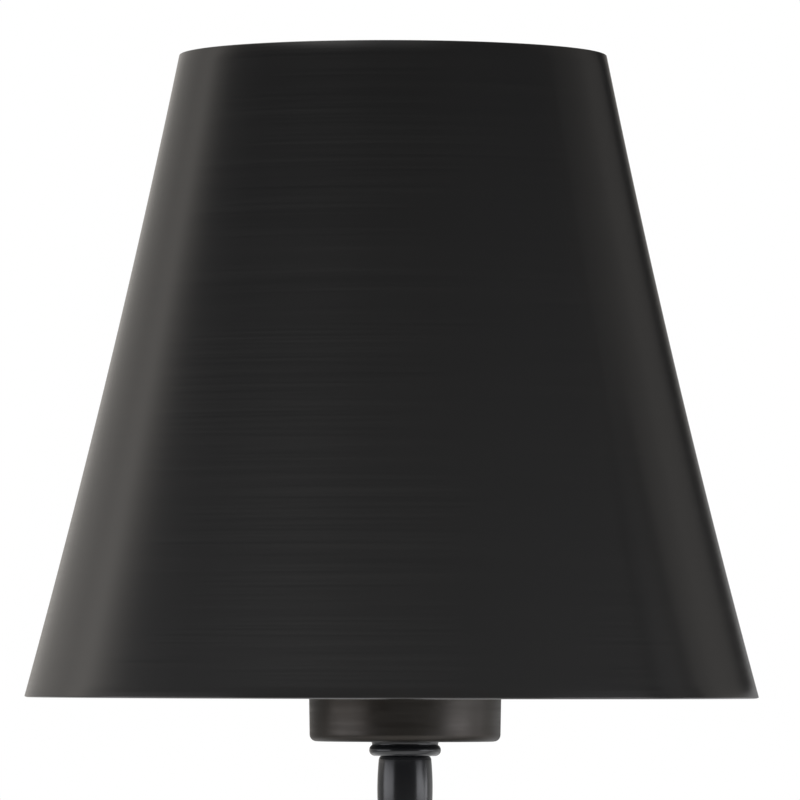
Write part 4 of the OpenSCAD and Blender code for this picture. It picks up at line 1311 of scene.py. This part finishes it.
def yoke_body():
    roof = PIVOT_Z / MM + BALL_R + ROOF_GAP
    under = CANOPY_Z - FLANGE_H
    stub_top = CANOPY_Z + STUB_H
    return turned_ring([
        (FEED_BORE_R, roof), (YOKE_R, roof, 0.5), (YOKE_R, under, 0.8), (FLANGE_R, under, 0.9),
        (FLANGE_R, CANOPY_Z, 0.3), (STUB_CORE_R, CANOPY_Z), (STUB_CORE_R, stub_top, 0.5),
        (FEED_BORE_R, stub_top, 0.4),
    ], 112)


def yoke_cheek(way):
    """A flat cheek with a round lower end, beside the ball."""
    pivot = PIVOT_Z / MM
    top = pivot + BALL_R + ROOF_GAP + CHEEK_LAP
    outline = [(BALL_R, top), *arc(0, pivot, BALL_R, 0, -180, 32), (-BALL_R, top)]
    points = [(x * MM, y * MM, z * MM) for x in (CHEEK_GAP, CHEEK_GAP + CHEEK_T) for y, z in outline]
    count = len(outline)
    faces = [range(count), range(2 * count - 1, count - 1, -1)]
    faces += [(j, count + j, count + (j + 1) % count, (j + 1) % count) for j in range(count)]
    cheek = eased_edges(worked(plain_mesh(points, [], faces), face_outwards), CHEEK_EDGE)
    return cheek if way > 0 else put(cheek, turn=Matrix.Rotation(math.pi, 4, "Z"))


def yoke():
    thread = wound(FRAME_BRONZE, STUB_CORE_R, STUB_R, STUB_PITCH, (STUB_H - 2 * STUB_THREAD_IN) / STUB_PITCH,
                   CANOPY_Z + STUB_THREAD_IN, 48)
    return joined([yoke_body(), *[yoke_cheek(way) for way in WAYS], thread])


def pivot_screw():
    """A shoulder screw with its slotted head up."""
    tip = PIVOT_TIP - CHEEK_GAP - CHEEK_T
    screw = turned_solid([
        (0, tip), (PIVOT_R, tip, 0.3), (PIVOT_R, 0), (PIVOT_HEAD_R, 0), (PIVOT_HEAD_R, PIVOT_HEAD_H, 0.6),
        (0, PIVOT_HEAD_H),
    ], 64)
    slot = block((4 * PIVOT_HEAD_R, PIVOT_SLOT, PIVOT_HEAD_H), (0, 0, PIVOT_HEAD_H), SLOT_EDGE)
    return cut_away(screw, slot)


def canopy_screw():
    core = turned_solid([(0, SCREW_Z), (SCREW_CORE_R, SCREW_Z, 0.5), (SCREW_CORE_R, 0, 0.3), (0, 0)], 48)
    turns = (-SCREW_Z - 2 * SCREW_THREAD_IN) / SCREW_PITCH
    thread = wound(ZINC, SCREW_CORE_R, SCREW_R, SCREW_PITCH, turns, SCREW_Z + SCREW_THREAD_IN, 24)
    return joined([core, thread])


def knob():
    """A ball nut under the canopy, with its collar up and the hole for the canopy screw."""
    neck = latitude(KNOB_COLLAR_R, KNOB_R)
    ball_z = -KNOB_COLLAR_H - KNOB_R * math.sin(math.radians(neck))
    hole = SCREW_R + FIT_GAP
    return turned([
        (0, ball_z - KNOB_R), *arc(0, ball_z, KNOB_R, -86, neck, 30),
        (KNOB_COLLAR_R, -KNOB_EDGE), (KNOB_COLLAR_R - KNOB_EDGE, 0),
        (hole, 0), (hole, -KNOB_HOLE_H), (0, -KNOB_HOLE_H),
    ], 96)


show("canopy_pan", canopy(), FRAME_BRONZE, "canopy", "canopy_shell")
for side, x in ROD_X.items():
    ball = put(swivel_ball(), x, 0, PIVOT_Z)
    show(f"swivel_ball_{side}_turned", ball, FRAME_BRONZE, "fixture", f"swivel_ball_{side}")
    show(f"swivel_yoke_{side}_cast", put(yoke(), x), FRAME_BRONZE, "canopy", f"swivel_yoke_{side}")

pivots = [
    put(pivot_screw(), x + way * (CHEEK_GAP + CHEEK_T) * MM, 0, PIVOT_Z, sideways(way))
    for x in ROD_X.values() for way in WAYS
]
show("slotted_pivot_screws", joined(pivots), FRAME_BRONZE, "canopy", "pivot_screws")
show("threaded_canopy_screws", repeated(canopy_screw, SCREW_PLACES), ZINC, "canopy", "canopy_screws")
show("ball_knobs", repeated(knob, SCREW_PLACES, CANOPY_Z * MM), FRAME_BRONZE, "canopy", "canopy_knobs")


# Nuts, leads and connectors in the canopy

NUT_FACE = 0.97
CHAMFER_STEPS = 5
WIRE_R = 1.0
WIRE_BEND = 4.2
FEED_X = ROD_X["left"] / MM
FEED_RING_R = 1.5
FEED_SIDE = 0.87 * FEED_RING_R
LEAD_Y = 15.0
LEAD_Z = middle("wire_connectors").z / MM
LEAD_START = low("lead_live").z / MM
LEAD_END = high("lead_live").x / MM
GROUND_X = middle("ground_screw").x / MM
CONNECTOR_L = width("wire_connectors")
CONNECTOR_R = high("wire_connectors").y / MM - LEAD_Y
CONNECTOR_TIP_R = 3.3
CONNECTOR_GRIP = 8.0
CONNECTOR_HOLE_R = WIRE_R + 0.15
CONNECTOR_THROAT = 2.0
CONNECTOR_LIP = 0.7
CONNECTOR_LIP_H = 0.6
CONNECTOR_SKIRT = 3.0
CONNECTOR_SKIN = 0.3
GRIP_START = 3.4
GRIP_END = 1.2
FLUTES = 12
FLUTE_DEPTH = 0.55
FLUTE_START = 4.5
FLUTE_END = 2.5
FLUTE_STEPS = 24


def hexagon_nut(corner_r, hole_r, top):
    """A nut with six flats and chamfered faces, standing on its lower face."""
    flat_r = corner_r * math.cos(math.pi / 6)
    face_r = flat_r * NUT_FACE
    outsets = [(corner_r - face_r) * i / CHAMFER_STEPS for i in range(CHAMFER_STEPS + 1)]
    chamfer = [(face_r + outset, outset * math.tan(math.pi / 6)) for outset in outsets]

    def flats(r, z, angle):
        return min(r, flat_r / math.cos(angle % (math.pi / 3) - math.pi / 6))

    return turned([
        (hole_r, 0), *chamfer, *[(r, top - z) for r, z in reversed(chamfer)], (hole_r, top),
    ], 96, closed=True, reshape=flats)


def nuts(node, x, hole_r):
    """A pair of nuts in place of a CAD node, at the same distance to both sides."""
    corner_r = (high(node).x - x) / MM
    return repeated(lambda: hexagon_nut(corner_r, hole_r + FIT_GAP, height(node)), (-x, x), low(node).z)


def connector():
    """A twist-on wire cap with a fluted grip, its mouth down."""

    def outer_r(z):
        return CONNECTOR_R + (CONNECTOR_TIP_R - CONNECTOR_R) * z / CONNECTOR_L

    def fluted(r, z, angle):
        along = (z - FLUTE_START) / (CONNECTOR_L - FLUTE_START - FLUTE_END)
        if r < outer_r(z) - CONNECTOR_SKIN or not 0 < along < 1:
            return r
        depth = FLUTE_DEPTH * math.sqrt(math.sin(math.pi * along))
        return r - depth * (1 - math.cos(FLUTES * angle)) / 2

    mouth = outer_r(0)
    grip_l = CONNECTOR_L - GRIP_START - GRIP_END
    rise = [GRIP_START + grip_l * i / FLUTE_STEPS for i in range(FLUTE_STEPS + 1)]
    skirt = softened([
        (0, CONNECTOR_GRIP), (CONNECTOR_HOLE_R, CONNECTOR_GRIP),
        (CONNECTOR_HOLE_R, CONNECTOR_GRIP - CONNECTOR_THROAT),
        (mouth - CONNECTOR_LIP - CONNECTOR_LIP_H, CONNECTOR_LIP_H, 0.6), (mouth - CONNECTOR_LIP, 0, 0.2),
        (mouth, 0, 0.4), (outer_r(CONNECTOR_SKIRT), CONNECTOR_SKIRT),
    ])
    tip = softened([(outer_r(rise[-1]), rise[-1]), (CONNECTOR_TIP_R, CONNECTOR_L, 1.0), (0, CONNECTOR_L)])
    return turned([*skirt, *[(outer_r(z), z) for z in rise], *tip[1:]], 144, reshape=fluted)


def lead(route, finish):
    points = [tuple(Vector(point) * MM) for point in route]
    return smoothed(grown(WIRE_RUN, finish, points, Radius=WIRE_R * MM, Bend=WIRE_BEND * MM))


def feed_lead(way, finish):
    """A lead from the swivel's bore over to its connector."""
    x = FEED_X - FEED_RING_R / 2
    y = way * FEED_SIDE
    side = way * LEAD_Y
    return lead([(x, y, LEAD_START), (x, y, LEAD_Z), (x, side, LEAD_Z), (LEAD_END, side, LEAD_Z)], finish)


def ground_lead():
    x = FEED_X + FEED_RING_R
    end = low("ground_screw").z / MM
    return lead([(x, 0, LEAD_START), (x, 0, LEAD_Z), (GROUND_X, 0, LEAD_Z), (GROUND_X, 0, end)], COPPER)


show("lead_live_wire", feed_lead(1, WIRE_BLACK), WIRE_BLACK, "canopy", "lead_live")
show("lead_neutral_wire", feed_lead(-1, WIRE_WHITE), WIRE_WHITE, "canopy", "lead_neutral")
show("lead_ground_wire", ground_lead(), COPPER, "canopy", "lead_ground")
mouth_x = low("wire_connectors").x
caps = [put(connector(), mouth_x, way * LEAD_Y * MM, LEAD_Z * MM, sideways()) for way in WAYS]
show("fluted_connectors", joined(caps), ORANGE, "canopy", "wire_connectors")
show("chamfered_yoke_nuts", nuts("yoke_nuts", ROD_X["right"], STUB_R), ZINC, "canopy", "yoke_nuts")
show("chamfered_strap_nuts", nuts("strap_nuts", SCREW_X, SCREW_R), ZINC, "canopy", "strap_nuts")


# Pieces whose CAD shape is right as it is

for node, finish in {
    "mounting_strap": ZINC, "ground_screw": GREEN_STEEL,
    "wires_live": WIRE_BLACK, "wires_neutral": WIRE_WHITE, "wire_ground": COPPER,
    "screw_shells": BRASS, "centre_contacts": BRASS,
}.items():
    for slot in frame["nodes"][node].material_slots:
        slot.material = finish


# Stage: a pale floor far below, a white studio and its lamps, in metres

FLOOR_DROP = 0.42
FLOOR_R = 2.4
FLOOR_FADE = 0.9
FLOOR_STEPS = 96


def floor_finish():
    """A matt white floor that fades out at its edge and doesn't show from below."""
    finish, tree, shader = new_finish("pale_floor")
    pale = tones(tree, grain(tree, 3), (0.80, 0.80, 0.80), (0.84, 0.84, 0.84))
    feed(tree, shader, {"Roughness": 0.9, "Base Color": pale})
    place = add(tree, "ShaderNodeTexCoord").outputs["Object"]
    reach = add(tree, "ShaderNodeVectorMath", {0: place}, operation="LENGTH").outputs["Value"]
    fade = mapped(tree, reach, FLOOR_R - FLOOR_FADE, FLOOR_R, interpolation_type="SMOOTHSTEP")
    back = add(tree, "ShaderNodeNewGeometry").outputs["Backfacing"]
    shown = output(tree, "ShaderNodeMixShader", {
        "Fac": reckon(tree, "MAXIMUM", fade, back), 1: shader.outputs["BSDF"],
        2: output(tree, "ShaderNodeBsdfTransparent"),
    })
    feed(tree, tree.nodes["Material Output"], {"Surface": shown})
    return finish


def make_floor():
    angles = [2 * math.pi * i / FLOOR_STEPS for i in range(FLOOR_STEPS)]
    rim = [(FLOOR_R * math.cos(a), FLOOR_R * math.sin(a), 0) for a in angles]
    mesh = smoothed(plain_mesh(rim, [], [range(FLOOR_STEPS)]))
    mesh.materials.append(floor_finish())
    floor = new_object("floor", mesh)
    floor.location.z = CAD_BOX[0][2] - FLOOR_DROP


# How bright the studio looks to metal, by heading: degrees from the photographer, to the left below zero.
# Each stop is (brightness, warmth). One row holds above the horizon, one along and below it, and one near
# the ceiling.
SWEEP_HIGH = {
    -180: (0.54, 1), -164: (0.54, 1), -152: (0.46, 1), -143: (0.46, 1), -128: (0.53, 1), -116: (0.85, 1),
    -106: (0.42, 1), -97: (0.16, 0.6), -89: (0.085, 0), -74: (0.035, -0.5), -40: (0.030, -0.5),
    -15: (0.020, 0), 15: (0.025, 0), 40: (0.050, -0.5), 74: (0.050, -0.5), 85: (0.055, 0), 97: (0.11, 0.4),
    106: (0.15, 1), 116: (0.18, 1), 128: (0.21, 1), 143: (0.11, 1), 150: (0.02, 1), 157: (0.01, 1),
    164: (0.13, 1), 172: (0.27, 1), 180: (0.45, 1),
}
SWEEP_LOW = {
    -180: (0.46, 1), -164: (0.50, 1), -152: (0.42, 0.5), -128: (0.30, 0), -100: (0.20, 0.5), -60: (0.10, 1),
    0: (0.07, 1), 60: (0.12, 1), 100: (0.30, 0.5), 128: (0.56, 0), 152: (0.44, 0), 164: (0.30, 0),
    180: (0.30, 0),
}
SWEEP_TOP = {
    -180: (0.5, 1), -150: (1.2, 1), -132: (1.6, 0.5), -80: (1.8, 0), -45: (1.4, 0), -10: (0.5, 0),
    15: (0.4, 0), 40: (0.12, 0), 90: (0.10, 0), 150: (0.30, 1), 180: (0.5, 1),
}
WARM = (1.0, 0.955, 0.90)
# Where one row passes into the next, by the sine of the angle above the horizon
HORIZON_BAND = (0.045, 0.085)
CEILING_BAND = (0.57, 0.64)
FILL = 0.85


def tint(brightness, warmth):
    return tuple(brightness * (1 + warmth * (channel - 1)) for channel in WARM)


def make_studio():
    """White to the camera and through glass. Metal sees a bright sweep behind and a dark room in front."""
    world = bpy.data.worlds.new("studio")
    world.use_nodes = True
    bpy.context.scene.world = world
    tree = world.node_tree
    place = add(tree, "ShaderNodeTexCoord").outputs["Generated"]
    x, y, z = add(tree, "ShaderNodeSeparateXYZ", {0: place}).outputs
    heading = reckon(tree, "ARCTAN2", x, reckon(tree, "MULTIPLY", y, -1.0))
    share = mapped(tree, heading, -math.pi, math.pi)
    lower, upper, ceiling = [
        read_off(tree, share, {(degrees + 180) / 360: tint(*stop) for degrees, stop in row.items()})
        for row in (SWEEP_LOW, SWEEP_HIGH, SWEEP_TOP)
    ]
    sweep = blend(tree, mapped(tree, z, *HORIZON_BAND), lower, upper)
    room = blend(tree, mapped(tree, z, *CEILING_BAND), sweep, ceiling)
    rays = add(tree, "ShaderNodeLightPath").outputs
    light = blend(tree, rays["Is Glossy Ray"], (FILL, FILL, FILL, 1), room)
    white = reckon(tree, "MAXIMUM", rays["Is Camera Ray"], rays["Is Transmission Ray"])
    feed(tree, tree.nodes["Background"], {
        "Color": blend(tree, white, light, (1, 1, 1, 1)), "Strength": 1.0
    })


def lamp(name, place, aim, size, watts, colour=(1, 1, 1)):
    """A soft rectangular lamp that points at a place."""
    data = bpy.data.lights.new(name, "AREA")
    data.color = colour
    data.shape = "RECTANGLE"
    data.size, data.size_y = size
    data.energy = watts
    made = new_object(name, data)
    made.location = place
    made.rotation_euler = (Vector(aim) - Vector(place)).to_track_quat("-Z", "Y").to_euler()


# Lamps: low cool strips to both sides of the photographed light, and broad soft ones overhead
STRIP_DISTANCE = 1.7
STRIP_H = 0.36
STRIPS = {"left": (-74, 1.6, 3.6), "right": (78, 1.8, 5.0)}
STRIP_COLOUR = (0.93, 0.94, 1.0)
OVERHEADS = {"behind": ((-0.1, 1.0, 1.9), 16), "front": ((-0.6, -1.1, 1.9), 3)}
OVERHEAD_SIZE = (2.6, 2.0)


def make_lamps():
    x = STEM_X[MAIN_LIGHT]
    for side, (heading, breadth, watts) in STRIPS.items():
        angle = math.radians(heading)
        place = (x + STRIP_DISTANCE * math.sin(angle), -STRIP_DISTANCE * math.cos(angle), CUP_Z)
        lamp(f"strip_{side}", place, (x, 0, CUP_Z), (breadth, STRIP_H), watts, STRIP_COLOUR)
    for side, (place, watts) in OVERHEADS.items():
        lamp(f"overhead_{side}", place, (place[0], place[1], 0), OVERHEAD_SIZE, watts)


# The photograph's view: close on the left end light, from just above its rim
CAMERA_DISTANCE = 1.74
CAMERA_ABOVE_RIM = 0.00626
CAMERA_RIGHT_OF_SHADE = 0.00172
CAMERA_TILT = 1.825
CAMERA_ROLL = -0.12
VIEW_WIDTH = 0.1662
SENSOR = 36.0


def make_camera():
    data = bpy.data.cameras.new("camera")
    data.sensor_width = SENSOR
    data.lens = SENSOR * CAMERA_DISTANCE / VIEW_WIDTH
    data.clip_end = 100
    camera = new_object("camera", data)
    x = SHADE_X[MAIN_LIGHT] + CAMERA_RIGHT_OF_SHADE
    camera.location = (x, -CAMERA_DISTANCE, RIM_Z + CAMERA_ABOVE_RIM)
    camera.rotation_euler = (math.radians(90 + CAMERA_TILT), math.radians(CAMERA_ROLL), 0)
    bpy.context.scene.camera = camera


make_floor()
make_studio()
make_lamps()
make_camera()
bpy.context.scene.view_settings.view_transform = "Standard"
